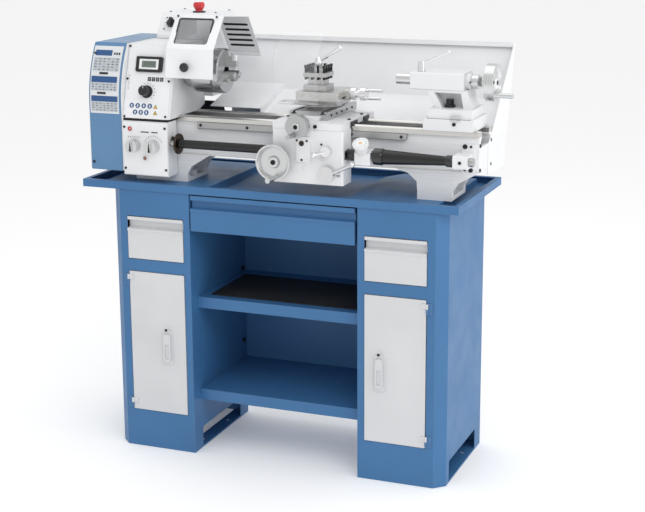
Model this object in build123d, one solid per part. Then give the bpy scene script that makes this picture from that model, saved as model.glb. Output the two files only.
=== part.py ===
"""A bench lathe on a cabinet stand: stand, bed, headstock, carriage and tailstock as separate pieces.

Axes: +X towards the tailstock, +Y towards the back, +Z up, floor at z = 0, in millimetres.
The pieces are drawn about the middle of the chip tray and moved together at the end, so that the
origin is under the middle of the whole machine's bounding box.
"""
from build123d import *
from math import atan2, cos, hypot, pi, sin, tau
import os

# Stand
TRAY_LENGTH = 1130
TRAY_WIDTH = 436
TRAY_TOP = 800
TRAY_UNDERSIDE = 778
TRAY_FLOOR = 780
TRAY_RIM = 14
SHEET = 2
PLATEAU_TOP = 797
PEDESTAL_WIDTH = 251
PEDESTAL_FRONT = -214
PEDESTAL_REAR = 161
LEFT_PEDESTAL_INNER = -226.5
RIGHT_PEDESTAL_INNER = 280.5
DOOR_LOW, DOOR_HIGH = 113.8, 538.5
DRAWER_LOW, DRAWER_HIGH = 573.9, 701.4
OPENING_IN, OPENING_OUT = 19.8, 199.2
LATCH_PIVOT_Z = 345
LEFT_LATCH_U, RIGHT_LATCH_U = 78, 66
HINGE_U, HINGE_Y = 200.5, -217.5
ANCHOR_HOLE_RADIUS = 7
SHELF_TOPS = (185.8, 466.1)
SHELF_LIP = 32.4

# Lathe: bed and spindle line
BED_LEFT, BED_RIGHT = -430, 595
BED_FRONT, BED_REAR = -145, -8
BED_TOP = 986
BED_UNDERSIDE = 876
BED_MIDDLE_Y = (BED_FRONT + BED_REAR) / 2
SPINDLE_Y, SPINDLE_Z = -77, 1112.5
SPINDLE_RADIUS, SPINDLE_BORE = 20, 13
CHUCK_RADIUS = 63
CHUCK_LEFT, CHUCK_RIGHT = -252, -165
HEAD_LEFT, HEAD_RIGHT = -437, -288
HEAD_REAR = 28
HEAD_BOTTOM, HEAD_TOP = 983, 1187
PANEL_BOTTOM_Y, PANEL_TOP_Y = -200.5, -145.3
COVER_LEFT = -547
COVER_RIGHT = HEAD_LEFT - 4.5
COVER_HINGE_X, COVER_HINGE_Y = -441, 121.5
MOTOR_Y, MOTOR_Z = 75, 945
LEADSCREW_Y, LEADSCREW_Z, LEADSCREW_RADIUS = -182, 914, 9
INPUT_Y, INPUT_Z = -160, 880
GEAR_MODULE = 1.5
SPINDLE_TEETH, IDLER_1_TEETH, IDLER_2_TEETH, INPUT_TEETH = 40, 70, 60, 36
GEAR_X0, GEAR_X1 = -470, -456
IDLER_1_ANGLE = 263
GUARD_LEFT, GUARD_RIGHT = -302, -155
GUARD_HINGE_Y, GUARD_HINGE_Z = 144, 1138

# Carriage
CROSS_WHEEL_X, CROSS_WHEEL_Z = 123, 995
CARRIAGE_WHEEL_X, CARRIAGE_WHEEL_Z = 49, 892
CROSS_SLIDE_REAR = 58
COMPOUND_X, COMPOUND_Y = 122.5, -48
POST_X, POST_Y = 116, -77
CRANK_Y, CRANK_Z = -62, 1059
HALF_NUT_X, HALF_NUT_Z = 197, 866
FEED_LEVER_X, FEED_LEVER_Z = 195, 927
SHIELD_HINGE_Y, SHIELD_HINGE_Z = -134, 1038
DIAL_CENTRE = (288, -206, 946)

# Tailstock
QUILL_RADIUS = 15
QUILL_TIP = 346
TAIL_WHEEL_X = 612

RUNNING = 0.05
CLEAR = 0.4


# ---------------------------------------------------------------- shapes
def block(x0, x1, y0, y1, z0, z1):
    """A box between two values on each axis."""
    middle = Pos((x0 + x1) / 2, (y0 + y1) / 2, (z0 + z1) / 2)
    return middle * Box(x1 - x0, y1 - y0, z1 - z0)


def prism_x(points, x0, x1):
    """A (y, z) outline drawn from x0 to x1."""
    face = make_face(Polyline(*[(x0, y, z) for y, z in points], close=True))
    return extrude(face, amount=x1 - x0, dir=(1, 0, 0))


def prism_y(points, y0, y1):
    """An (x, z) outline drawn from y0 to y1."""
    face = make_face(Polyline(*[(x, y0, z) for x, z in points], close=True))
    return extrude(face, amount=y1 - y0, dir=(0, 1, 0))


def prism_z(points, z0, z1):
    """An (x, y) outline drawn from z0 to z1."""
    face = make_face(Polyline(*[(x, y, z0) for x, y in points], close=True))
    return extrude(face, amount=z1 - z0, dir=(0, 0, 1))


def rod_x(x0, x1, y, z, radius):
    return Pos((x0 + x1) / 2, y, z) * Rot(0, 90, 0) * Cylinder(radius, x1 - x0)


def rod_y(x, y0, y1, z, radius):
    return Pos(x, (y0 + y1) / 2, z) * Rot(-90, 0, 0) * Cylinder(radius, y1 - y0)


def rod_z(x, y, z0, z1, radius):
    return Pos(x, y, (z0 + z1) / 2) * Cylinder(radius, z1 - z0)


def taper_x(x0, x1, y, z, radius0, radius1):
    return Pos((x0 + x1) / 2, y, z) * Rot(0, 90, 0) * Cone(radius0, radius1, x1 - x0)


def bar(start, end, radius, end_radius=None):
    """A round bar between two points, tapered if a second radius is given."""
    direction = Vector(*end) - Vector(*start)
    plane = Plane(origin=start, z_dir=direction)
    low = (Align.CENTER, Align.CENTER, Align.MIN)
    if end_radius is None:
        return plane * Cylinder(radius, direction.length, align=low)
    return plane * Cone(radius, end_radius, direction.length, align=low)


def lever(start, end, radius, end_radius, knob):
    """A tapered arm between two points with a round knob on its end."""
    direction = Vector(*end) - Vector(*start)
    return bar(start, end, radius, end_radius) + Plane(origin=end, z_dir=direction) * Sphere(knob)


def turned_x(profile, y, z):
    """A solid of revolution about a line along X; the profile is (x, radius)."""
    face = make_face(Polyline(*[(x, y, z + r) for x, r in profile], close=True))
    return revolve(face, axis=Axis((0, y, z), (1, 0, 0)))


def turned_y(profile, x, z):
    """A solid of revolution about a line along Y; the profile is (y, radius)."""
    face = make_face(Polyline(*[(x, y, z + r) for y, r in profile], close=True))
    return revolve(face, axis=Axis((x, 0, z), (0, 1, 0)))


def strip(points, thickness):
    """The outline of a bent sheet: a line of points and the same line moved to its left."""
    moved = []
    for i, (a, b) in enumerate(points):
        before = points[max(i - 1, 0)]
        after = points[min(i + 1, len(points) - 1)]
        first = atan2(b - before[1], a - before[0]) if i else None
        second = atan2(after[1] - b, after[0] - a) if i < len(points) - 1 else None
        first = second if first is None else first
        second = first if second is None else second
        half = (second - first + pi) % tau - pi
        angle = first + half / 2 + pi / 2
        reach = thickness / cos(half / 2)
        moved.append((a + reach * cos(angle), b + reach * sin(angle)))
    return list(points) + moved[::-1]


def group(*solids):
    """Separate solids in one node."""
    pieces = []
    for shape in solids:
        pieces.extend(shape.solids())
    return Compound(children=pieces)


def rounded_x(shape, radius):
    return fillet(shape.edges().filter_by(Axis.X), radius)


def rounded_y(shape, radius):
    return fillet(shape.edges().filter_by(Axis.Y), radius)


def rounded_z(shape, radius):
    return fillet(shape.edges().filter_by(Axis.Z), radius)


# ---------------------------------------------------------------- gears
def gear(teeth, y, z, first_tooth, bore):
    """A spur gear about X, with slim straight-sided teeth that leave backlash."""
    pitch_radius = GEAR_MODULE * teeth / 2
    tip, root = pitch_radius + 0.8 * GEAR_MODULE, pitch_radius - 1.2 * GEAR_MODULE
    step = tau / teeth
    outline = []
    for i in range(teeth):
        middle = first_tooth + i * step
        for radius, share in ((root, -0.26), (tip, -0.12), (tip, 0.12), (root, 0.26)):
            angle = middle + share * step
            outline.append((y + radius * cos(angle), z + radius * sin(angle)))
    return prism_x(outline, GEAR_X0, GEAR_X1) - rod_x(GEAR_X0 - 1, GEAR_X1 + 1, y, z, bore)


def meshed(angle, teeth, first_tooth, other_teeth):
    """The first tooth's angle on a gear that meshes along the line at this angle."""
    phase = (angle - first_tooth) * teeth / tau
    return angle + pi - (0.5 - phase) * tau / other_teeth


def gear_train():
    """Centre and first tooth of each gear, from the spindle down to the feed gearbox's input."""
    spindle = (SPINDLE_Y, SPINDLE_Z)
    feed = (INPUT_Y, INPUT_Z)
    reach_1 = GEAR_MODULE * (SPINDLE_TEETH + IDLER_1_TEETH) / 2
    reach_2 = GEAR_MODULE * (IDLER_1_TEETH + IDLER_2_TEETH) / 2
    reach_3 = GEAR_MODULE * (IDLER_2_TEETH + INPUT_TEETH) / 2
    angle_1 = IDLER_1_ANGLE * pi / 180
    idler_1 = (spindle[0] + reach_1 * cos(angle_1), spindle[1] + reach_1 * sin(angle_1))
    across, down = feed[0] - idler_1[0], feed[1] - idler_1[1]
    span = hypot(across, down)
    along = (span**2 + reach_2**2 - reach_3**2) / (2 * span)
    side = (reach_2**2 - along**2) ** 0.5
    idler_2 = (
        idler_1[0] + (across * along - down * side) / span,
        idler_1[1] + (down * along + across * side) / span,
    )
    train = [(spindle, SPINDLE_TEETH, 0.0)]
    for centre, teeth in ((idler_1, IDLER_1_TEETH), (idler_2, IDLER_2_TEETH), (feed, INPUT_TEETH)):
        last, last_teeth, last_first = train[-1]
        angle = atan2(centre[1] - last[1], centre[0] - last[0])
        train.append((centre, teeth, meshed(angle, last_teeth, last_first, teeth)))
    return train


# ---------------------------------------------------------------- stand
def on_left(shape):
    """A pedestal piece drawn outwards from its inner side, placed on the left pedestal."""
    return Pos(LEFT_PEDESTAL_INNER, 0, 0) * mirror(shape, about=Plane.YZ)


def on_right(shape):
    return Pos(RIGHT_PEDESTAL_INNER, 0, 0) * shape


def pedestal():
    """A folded steel cabinet with a chamfered outer front corner and open sides at the foot."""
    chamfer = 29
    wall = 2.5
    front, rear, wide = PEDESTAL_FRONT, PEDESTAL_REAR, PEDESTAL_WIDTH
    outer = [(0, front), (wide - chamfer, front), (wide, front + chamfer), (wide, rear), (0, rear)]
    inner = [
        (wall, front + wall),
        (wide - chamfer - 1, front + wall),
        (wide - wall, front + chamfer + 1),
        (wide - wall, rear - wall),
        (wall, rear - wall),
    ]
    body = prism_z(outer, 0, TRAY_UNDERSIDE)
    body -= prism_z(inner, -1, 108)
    body -= prism_z(inner, 108 + wall, 555)
    body -= prism_z(inner, 555 + wall, TRAY_UNDERSIDE - wall)
    body -= block(OPENING_IN, OPENING_OUT, front - 1, front + wall + 1, DOOR_LOW, DOOR_HIGH)
    body -= block(OPENING_IN, OPENING_OUT, front - 1, front + wall + 1, DRAWER_LOW, DRAWER_HIGH)
    body -= rounded_x(block(-1, wide + 1, -160, 105, -1, 64), 8)
    foot = prism_z(outer, 0, 4) & (block(0, 44, -300, 300, 0, 4) + block(207, 260, -300, 300, 0, 4))
    for u in (24, 227):
        for y in (-110, 60):
            foot -= rod_z(u, y, -1, 5, ANCHOR_HOLE_RADIUS)
    return body + foot


def chip_tray():
    """A pressed tray with a folded rim and two raised plateaus that carry the lathe's feet."""
    half, deep = TRAY_LENGTH / 2, TRAY_WIDTH / 2
    tray = block(-half, half, -deep, deep, TRAY_UNDERSIDE, TRAY_TOP)
    tray -= block(-half + SHEET, half - SHEET, -deep + SHEET, deep - SHEET, TRAY_FLOOR, TRAY_TOP + 1)
    rim = block(-half, half, -deep, deep, TRAY_TOP - SHEET, TRAY_TOP)
    inside = (-half + TRAY_RIM, half - TRAY_RIM, -deep + TRAY_RIM, deep - TRAY_RIM)
    rim -= block(*inside, TRAY_TOP - 5, TRAY_TOP + 1)
    tray += rim
    left = [(-495, 1 - deep), (-176, 1 - deep), (-176, 185), (-495, 185)]
    right = [(244, 1 - deep), (501, 1 - deep), (501, 185), (282, 185), (244, 120)]
    for outline in (left, right):
        tray += prism_z(outline, TRAY_FLOOR - 1, PLATEAU_TOP)
    tray -= block(-492, -179, 4 - deep, 182, TRAY_UNDERSIDE - 1, PLATEAU_TOP - 3)
    tray -= block(285, 498, 4 - deep, 182, TRAY_UNDERSIDE - 1, PLATEAU_TOP - 3)
    for x0, x1 in ((-440, -255), (400, 497)):
        for y in (-120, -32):
            tray += block(x0, x1, y - 5, y + 5, TRAY_UNDERSIDE, PLATEAU_TOP - 2)
    return tray


def shelf(top):
    """A folded shelf between the pedestals with a lip at the front and back."""
    x0, x1 = LEFT_PEDESTAL_INNER, RIGHT_PEDESTAL_INNER
    front, back = -171, 158
    body = block(x0, x1, front, back, top - SHEET, top)
    body += block(x0, x1, front, front + SHEET, top - SHELF_LIP, top)
    body += block(x0, x1, front, front + 14, top - SHELF_LIP, top - SHELF_LIP + SHEET)
    body += block(x0, x1, back - SHEET, back, top - 25, top)
    return body


def stand_shelves():
    panel = block(LEFT_PEDESTAL_INNER, RIGHT_PEDESTAL_INNER, 159, 161, 120, 700)
    return group(shelf(SHELF_TOPS[0]), shelf(SHELF_TOPS[1]), panel)


def shelf_mat():
    top = SHELF_TOPS[1]
    return rounded_z(block(-200, 254, -140, 100, top, top + 3), 6)


def hinge_leaf(z):
    """A hinge's fixed half: a leaf on the pedestal's front, a knuckle and its pin."""
    leaf = block(HINGE_U, HINGE_U + 14, -216, -214, z, z + 30)
    leaf -= block(HINGE_U - 4, HINGE_U + 3.4, -222, -210, z + 14, z + 31)
    return leaf + rod_z(HINGE_U, HINGE_Y, z, z + 14, 3) + rod_z(HINGE_U, HINGE_Y, z, z + 30, 1.5)


def hinge_heights():
    return (DOOR_LOW + 6, DOOR_HIGH - 40)


def drawer_rails():
    """The fixed ledges that a small drawer slides on."""
    pieces = []
    for inside, guide, wall in ((42, 25.5, 2.5), (178, 193.5, 248.5)):
        pieces.append(block(*sorted((inside, wall)), -180, 140, 581, 584.7))
        pieces.append(block(*sorted((guide, wall)), -180, 140, 584.75, 612))
    return group(*pieces)


def stand_fittings():
    """Runners, hinge leaves with pins, and the cap screws that hold the shelves."""
    pieces = []
    for place in (on_left, on_right):
        pieces.append(place(drawer_rails()))
        for z in hinge_heights():
            pieces.append(place(hinge_leaf(z)))
        for y, z in ((135, 478), (105, 447), (135, 245), (110, 165)):
            pieces.append(place(Pos(-3, y, z) * Rot(0, 90, 0) * Cylinder(6.5, 6)))
    left, right = LEFT_PEDESTAL_INNER, RIGHT_PEDESTAL_INNER
    pieces.append(block(left, left + 12, -195, 140, 690, 712) + block(left, left + 30, -195, 140, 674, 679.7))
    pieces.append(block(right - 15, right, -195, 140, 690, 712) + block(right - 33, right, -195, 140, 674, 679.7))
    return group(*pieces)


def drawer_front(x0, x1, low, high, grip):
    """A folded drawer front with a finger recess across its whole width, its lip at height grip."""
    face = PEDESTAL_FRONT - 2
    outline = [
        (face + 18, low),
        (face, low),
        (face, grip - 10),
        (face - 3, grip - 5),
        (face - 3, grip),
        (face + 13, grip + 3),
        (face + 13, grip + 22),
        (face, grip + 25),
        (face, high),
        (face + 18, high),
    ]
    return prism_x(outline, x0, x1)


def drawer_box(x0, x1, low, high, back):
    """An open-topped sheet box behind a drawer front."""
    front = PEDESTAL_FRONT + 16
    box = block(x0, x1, front, back, low, high)
    return box - block(x0 + SHEET, x1 - SHEET, front + 0.01, back - SHEET, low + SHEET, high + 1)


def small_drawer():
    front = drawer_front(21.3, 197.7, DRAWER_LOW + 2, DRAWER_HIGH - 2, 665)
    return front + drawer_box(27, 192, 585, 665, 120)


def centre_drawer():
    front = drawer_front(-221.7, 272.9, 671.6, 774, 736)
    return front + drawer_box(-213, 264, 680, 750, 130)


def door(latch_u):
    """A folded door pan with hinge barrels at its outer edge and a plate for the latch."""
    u0, u1, z0, z1 = OPENING_IN + 1.5, OPENING_OUT - 2, DOOR_LOW + 1.5, DOOR_HIGH - 1.5
    pan = block(u0, u1, -216, -204, z0, z1)
    pan -= block(u0 + SHEET, u1 - SHEET, -214, -203, z0 + SHEET, z1 - SHEET)
    for z in hinge_heights():
        pan += block(u1 - 14, HINGE_U, -217.5, -215.9, z + 14.4, z + 29)
        pan += rod_z(HINGE_U, HINGE_Y, z + 14.4, z + 29, 3)
        pan -= rod_z(HINGE_U, HINGE_Y, z + 14, z + 30, 1.5 + RUNNING)
    plate = rounded_y(block(latch_u - 17, latch_u + 17, -219, -216, 264, 368), 9)
    return (pan + plate) - rod_y(latch_u, -220, -210, LATCH_PIVOT_Z, 6 + RUNNING)


def latch(latch_u):
    """A swing handle, its shaft and the tongue that turns behind the pedestal's front."""
    low = LATCH_PIVOT_Z - 70
    handle = rounded_y(block(latch_u - 11, latch_u + 11, -227, -219.5, low, LATCH_PIVOT_Z + 14), 8)
    handle -= rounded_y(block(latch_u - 6, latch_u + 6, -228, -224, low + 8, LATCH_PIVOT_Z - 18), 4)
    shaft = rod_y(latch_u, -221, -196, LATCH_PIVOT_Z, 6)
    length = latch_u - 12
    tongue = block(latch_u - 8, latch_u + 8, -201, -198, LATCH_PIVOT_Z - length, LATCH_PIVOT_Z + 8)
    return handle + shaft + tongue


# ---------------------------------------------------------------- bed
def bed_section():
    """Half of the bed's cross-section: one way with its ridge, web and lower flange."""
    return [
        (BED_FRONT, 974),
        (BED_FRONT, BED_TOP),
        (-135, BED_TOP),
        (-131, BED_TOP + 4),
        (-127, BED_TOP),
        (-112, BED_TOP),
        (-112, 970),
        (-122, 962),
        (-122, 890),
        (-104, 886),
        (-104, BED_UNDERSIDE),
        (-138, BED_UNDERSIDE),
        (-138, 974),
    ]


def opposite(points):
    """The same outline on the far side of the bed's middle."""
    return [(2 * BED_MIDDLE_Y - y, z) for y, z in points]


def bed():
    """The cast bed with two ways, cross ribs and a flared foot under each end."""
    body = prism_x(bed_section(), BED_LEFT, BED_RIGHT)
    body += prism_x(opposite(bed_section()), BED_LEFT, BED_RIGHT)
    for x in range(-410, 560, 143):
        body += block(x, x + 12, -124, -29, 880, 935)
    body += block(BED_RIGHT - 10, BED_RIGHT, -124, -29, BED_UNDERSIDE, 945)
    right_foot = [
        (426, 797),
        (523, 797),
        (523, 820),
        (538, 845),
        (BED_RIGHT, 878),
        (BED_RIGHT, 879.5),
        (362, 879.5),
        (362, 878),
        (398, 868),
        (424, 846),
        (426, 820),
    ]
    left_foot = [
        (BED_LEFT, 797),
        (-263.5, 797),
        (-263.5, 820),
        (-250, 843),
        (-192, 878),
        (-192, 879.5),
        (BED_LEFT, 879.5),
    ]
    body += prism_y(right_foot, -143, -10) - block(450, 600, -125, -28, 808, 872)
    body += prism_y(left_foot, -143, -10) - block(-300, -180, -125, -28, 808, 872)
    body -= block(BED_LEFT - 1, -293, -150, -104, 818, 877)
    for x in (475, -280):
        body += rod_z(x, -76, 800, 822, 12)
    return body


def bed_fittings():
    """The carriage rack and the leadscrew's end bracket, screwed to the bed's front."""
    pitch = 2 * pi
    outline = [(396, 958), (396, 973.5), (-226, 973.5), (-226, 958)]
    for i in range(int(622 / pitch)):
        x = -226 + i * pitch
        outline += [(x + 0.9, 958), (x + 2.2, 953.5), (x + 3.8, 953.5), (x + 5.1, 958)]
    rack = prism_y(outline, -150, -138)
    for x in (-215, -71, 240, 382):
        rack -= rod_y(x, -151, -146, 965, 4)
    bracket = block(550, 585, -146, -138, 880, 955)
    bracket += rounded_x(block(540, 580, -200, -140, 896, 932), 6)
    bracket -= rod_x(535, 590, LEADSCREW_Y, LEADSCREW_Z, LEADSCREW_RADIUS + RUNNING)
    return group(rack, bracket)


# ---------------------------------------------------------------- headstock
def panel_y(z):
    """How far forward the leaning front panel is at a height."""
    share = (z - HEAD_BOTTOM) / (HEAD_TOP - HEAD_BOTTOM)
    return PANEL_BOTTOM_Y + share * (PANEL_TOP_Y - PANEL_BOTTOM_Y)


def panel_plane(x, z):
    """A plane on the leaning front panel, facing out."""
    lean = Vector(0, PANEL_TOP_Y - PANEL_BOTTOM_Y, HEAD_TOP - HEAD_BOTTOM).normalized()
    return Plane(origin=(x, panel_y(z), z), x_dir=(1, 0, 0), z_dir=(0, -lean.Z, lean.Y))


def on_panel(x, z, shape):
    return panel_plane(x, z) * shape


def spindle_bearing(x0, x1):
    ring = rod_x(x0, x1, SPINDLE_Y, SPINDLE_Z, 35)
    return ring - rod_x(x0 - 1, x1 + 1, SPINDLE_Y, SPINDLE_Z, SPINDLE_RADIUS + RUNNING)


def cover_outline(inset):
    """The end cover's side view: upright below, curving back towards the top."""
    front, low, high, rear = -200 + inset, 828 + inset, 1190 - inset, 116 - inset
    edges = [
        Line((0, front, low), (0, front, 1018)),
        ThreePointArc((0, front, 1018), (0, front + 13, 1110), (0, front + 48, high)),
        Line((0, front + 48, high), (0, rear, high)),
        Line((0, rear, high), (0, rear, low)),
        Line((0, rear, low), (0, front, low)),
    ]
    return make_face(Wire(edges))


def end_plate():
    """The plate behind the end cover, with the idler studs and the cover's hinge pins."""
    train = gear_train()
    x0, x1 = HEAD_LEFT - 4, HEAD_LEFT
    plate = Pos(x0, 0, 0) * extrude(cover_outline(1), amount=x1 - x0, dir=(1, 0, 0))
    plate -= rod_x(x0 - 1, x1 + 1, SPINDLE_Y, SPINDLE_Z, 26)
    plate -= rod_x(x0 - 1, x1 + 1, MOTOR_Y, MOTOR_Z, 14)
    plate -= rod_x(x0 - 1, x1 + 1, INPUT_Y, INPUT_Z, 10)
    for centre, _, _ in train[1:3]:
        plate += rod_x(GEAR_X0 - 3, x0 + 1, centre[0], centre[1], 8)
        plate += rod_x(GEAR_X1 + 1, x0 + 1, centre[0], centre[1], 14)
    for z in (870, 1130):
        plate += block(x0, x1, 112, COVER_HINGE_Y, z, z + 14)
        plate += rod_z(COVER_HINGE_X, COVER_HINGE_Y, z, z + 14, 4)
        plate += rod_z(COVER_HINGE_X, COVER_HINGE_Y, z, z + 30, 2)
    return plate


def headstock_casting():
    """The hollow head casting, its two spindle bearings and the end plate."""
    front = 3.1
    outline = [
        (PANEL_BOTTOM_Y + front, HEAD_BOTTOM),
        (-146, HEAD_BOTTOM),
        (-146, BED_TOP),
        (-8, BED_TOP),
        (HEAD_REAR, 1000),
        (HEAD_REAR, HEAD_TOP),
        (PANEL_TOP_Y + front, HEAD_TOP),
    ]
    hollow = [(-178, 1000), (-10, 1000), (16, 1010), (16, 1175), (-134, 1175)]
    body = prism_x(outline, HEAD_LEFT, HEAD_RIGHT)
    body -= prism_x(hollow, HEAD_LEFT + 12, HEAD_RIGHT - 12)
    body += rod_x(HEAD_LEFT, HEAD_LEFT + 30, SPINDLE_Y, SPINDLE_Z, 45)
    body += rod_x(HEAD_RIGHT - 30, HEAD_RIGHT, SPINDLE_Y, SPINDLE_Z, 45)
    body -= rod_x(HEAD_LEFT - 1, HEAD_RIGHT + 1, SPINDLE_Y, SPINDLE_Z, 26)
    body -= rod_x(HEAD_LEFT + 6, HEAD_LEFT + 31, SPINDLE_Y, SPINDLE_Z, 35)
    body -= rod_x(HEAD_RIGHT - 31, HEAD_RIGHT - 6, SPINDLE_Y, SPINDLE_Z, 35)
    body -= block(HEAD_LEFT + 20, HEAD_RIGHT - 20, 10, 40, 1025, 1165)
    groove = [(-135.4, BED_TOP - 1), (-135.4, 986.4), (-131, 990.8), (-126.6, 986.4), (-126.6, BED_TOP - 1)]
    body -= prism_x(groove, HEAD_LEFT - 1, HEAD_RIGHT + 1)
    body -= prism_x(opposite(groove), HEAD_LEFT - 1, HEAD_RIGHT + 1)
    body -= on_panel(-366, 1057, Pos(0, 0, -20) * Cylinder(5 + RUNNING, 50))
    body -= block(-406, -323, -190, -120, 1110, 1154)
    bearings = [
        spindle_bearing(HEAD_LEFT + 6, HEAD_LEFT + 26),
        spindle_bearing(HEAD_RIGHT - 26, HEAD_RIGHT - 6),
    ]
    return group(body, *bearings, end_plate())


def front_panels():
    """The leaning control panel with its display frame, and the feed gearbox's front plate."""
    x0, x1 = HEAD_LEFT + 1, HEAD_RIGHT - 6
    outline = [
        (PANEL_BOTTOM_Y, HEAD_BOTTOM),
        (PANEL_BOTTOM_Y + 3, HEAD_BOTTOM),
        (PANEL_TOP_Y + 3, HEAD_TOP),
        (PANEL_TOP_Y, HEAD_TOP),
    ]
    upper = prism_x(outline, x0, x1)
    upper -= on_panel(-366, 1057, Cylinder(5 + RUNNING, 20))
    upper += on_panel(-364.5, 1132, Pos(0, 0, 2) * Box(81, 42, 10))
    upper -= on_panel(-364.5, 1132, Pos(0, 0, 6) * Box(45, 20, 6))
    lower = block(-435, -296, -202, -200, 821, 973)
    for x in (-399, -339):
        lower -= rod_y(x, -205, -195, 905, 5 + RUNNING)
    return group(upper, lower)


def speed_knob():
    knob = Pos(0, 0, 14) * Cylinder(14, 26)
    skirt = Pos(0, 0, 2.4) * Cylinder(18, 4)
    shaft = Pos(0, 0, -5) * Cylinder(5, 20)
    return on_panel(-366, 1057, knob + skirt + shaft)


def gearbox_knob(x):
    """A round knob with a pointer ridge on its face."""
    knob = rod_y(x, -228, -202.4, 905, 19)
    ridge = block(x - 4, x + 4, -232, -227, 890, 920)
    return knob + ridge + rod_y(x, -204, -193, 905, 5)


def feed_gearbox():
    """The feed gearbox's hollow casting, hung on the front of the bed."""
    outline = [(-200, 819), (-105, 819), (-105, 875), (-146, 875), (-146, 975), (-200, 975)]
    hollow = [(-192, 827), (-100, 827), (-100, 867), (-151, 867), (-151, 967), (-192, 967)]
    body = prism_x(outline, HEAD_LEFT, -294) - prism_x(hollow, HEAD_LEFT + 8, -302)
    body -= rod_x(-305, -290, LEADSCREW_Y, LEADSCREW_Z, LEADSCREW_RADIUS + RUNNING)
    body += rod_x(-330, -301, LEADSCREW_Y, LEADSCREW_Z, 13) & block(-330, -301, -199, -160, 890, 940)
    body -= rod_x(-335, -290, LEADSCREW_Y, LEADSCREW_Z, LEADSCREW_RADIUS + RUNNING)
    body -= rod_x(HEAD_LEFT - 1, HEAD_LEFT + 9, INPUT_Y, INPUT_Z, 8 + RUNNING)
    for x in (-399, -339):
        body -= rod_y(x, -201, -188, 905, 5 + RUNNING)
    return body


def cabinet_slope():
    """The control cabinet's leaning front: (y, z) at its foot and at its top."""
    return (20, 1197), (66, 1260)


def electrical_cabinet():
    """The sheet-metal control cabinet behind the head, and the chuck guard's hinge rod."""
    foot, top = cabinet_slope()
    outline = [(30, 1022), (30, 1188), (20, 1188), foot, top, (196, 1260), (196, 1022)]
    inside = [(32, 1020), (32, 1190), (22.5, 1190), (22.5, 1197), (67, 1258), (194, 1258), (194, 1020)]
    x0, x1 = HEAD_LEFT + 1, -262
    body = prism_x(outline, x0, x1) - prism_x(inside, x0 + SHEET, x1 - SHEET)
    body -= rod_z(-330, 90, 1250, 1265, 11 + CLEAR)
    body -= cabinet_plane() * Cylinder(6 + RUNNING, 20)
    rod = rod_x(x1 - 6, GUARD_RIGHT, GUARD_HINGE_Y, GUARD_HINGE_Z, 4)
    return body + rod


def cabinet_plane():
    """A plane on the cabinet's leaning front, at the middle of the power switch."""
    foot, top = cabinet_slope()
    lean = Vector(0, top[0] - foot[0], top[1] - foot[1]).normalized()
    middle = (-398, (foot[0] + top[0]) / 2, (foot[1] + top[1]) / 2)
    return Plane(origin=middle, x_dir=(1, 0, 0), z_dir=(0, -lean.Z, lean.Y))


def power_switch():
    """A rotary main switch: a disc and a grip bar."""
    disc = Pos(0, 0, 5) * Cylinder(13, 8)
    grip = Pos(0, 0, 12) * Box(9, 26, 10)
    shaft = Pos(0, 0, -3) * Cylinder(6, 12)
    return cabinet_plane() * (disc + grip + shaft)


def stop_button():
    """The mushroom stop button on the cabinet's top."""
    head = rod_z(-330, 90, 1277, 1284, 17)
    head += Pos(-330, 90, 1287) * Cone(17, 14, 6)
    head += Pos(-330, 90, 1273) * Cone(12.5, 17, 8)
    return head + rod_z(-330, 90, 1245, 1270, 11)


def end_cover():
    """The shell over the gears and pulleys, open on the head's side and hinged at the back."""
    wide = COVER_RIGHT - COVER_LEFT
    shell = Pos(COVER_LEFT, 0, 0) * extrude(cover_outline(0), amount=wide, dir=(1, 0, 0))
    shell = fillet(shell.faces().sort_by(Axis.X)[0].edges(), 7)
    shell -= Pos(COVER_LEFT + SHEET, 0, 0) * extrude(cover_outline(SHEET), amount=wide, dir=(1, 0, 0))
    shell -= rod_x(COVER_LEFT - 1, COVER_LEFT + 5, SPINDLE_Y, SPINDLE_Z, 18)
    for z in (870, 1130):
        shell += block(COVER_RIGHT - 16, COVER_HINGE_X, 115, COVER_HINGE_Y, z + 14.4, z + 29)
        shell += rod_z(COVER_HINGE_X, COVER_HINGE_Y, z + 14.4, z + 29, 4)
        shell -= rod_z(COVER_HINGE_X, COVER_HINGE_Y, z + 13, z + 31, 2 + RUNNING)
    return shell


# ---------------------------------------------------------------- drive
def pulley(y, z, radius, bore):
    """A belt wheel with a flange on each side of its groove."""
    profile = [
        (-500, bore),
        (-500, radius + 5),
        (-496, radius + 5),
        (-494.5, radius),
        (-483.5, radius),
        (-482, radius + 5),
        (-478, radius + 5),
        (-478, bore),
    ]
    return turned_x(profile, y, z)


def spindle():
    """The bored spindle with its nose flange, and the pulley and gear keyed to it."""
    profile = [
        (-508, SPINDLE_BORE),
        (-508, SPINDLE_RADIUS),
        (-286, SPINDLE_RADIUS),
        (-286, 43),
        (-275, 43),
        (-275, 27),
        (-268, 27),
        (-268, SPINDLE_BORE),
    ]
    shaft = turned_x(profile, SPINDLE_Y, SPINDLE_Z)
    wheel = pulley(SPINDLE_Y, SPINDLE_Z, 40, SPINDLE_RADIUS)
    first = gear(SPINDLE_TEETH, SPINDLE_Y, SPINDLE_Z, 0.0, SPINDLE_RADIUS)
    return group(shaft, wheel, first)


def idler_gear(number):
    centre, teeth, first = gear_train()[number]
    return gear(teeth, centre[0], centre[1], first, 8 + RUNNING)


def feed_input_gear():
    centre, teeth, first = gear_train()[3]
    wheel = gear(teeth, centre[0], centre[1], first, 7.9)
    return wheel + rod_x(GEAR_X0 - 4, HEAD_LEFT + 8.5, INPUT_Y, INPUT_Z, 8)


def motor_pulley():
    return pulley(MOTOR_Y, MOTOR_Z, 22, 8) + rod_x(-503, -400, MOTOR_Y, MOTOR_Z, 8)


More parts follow.
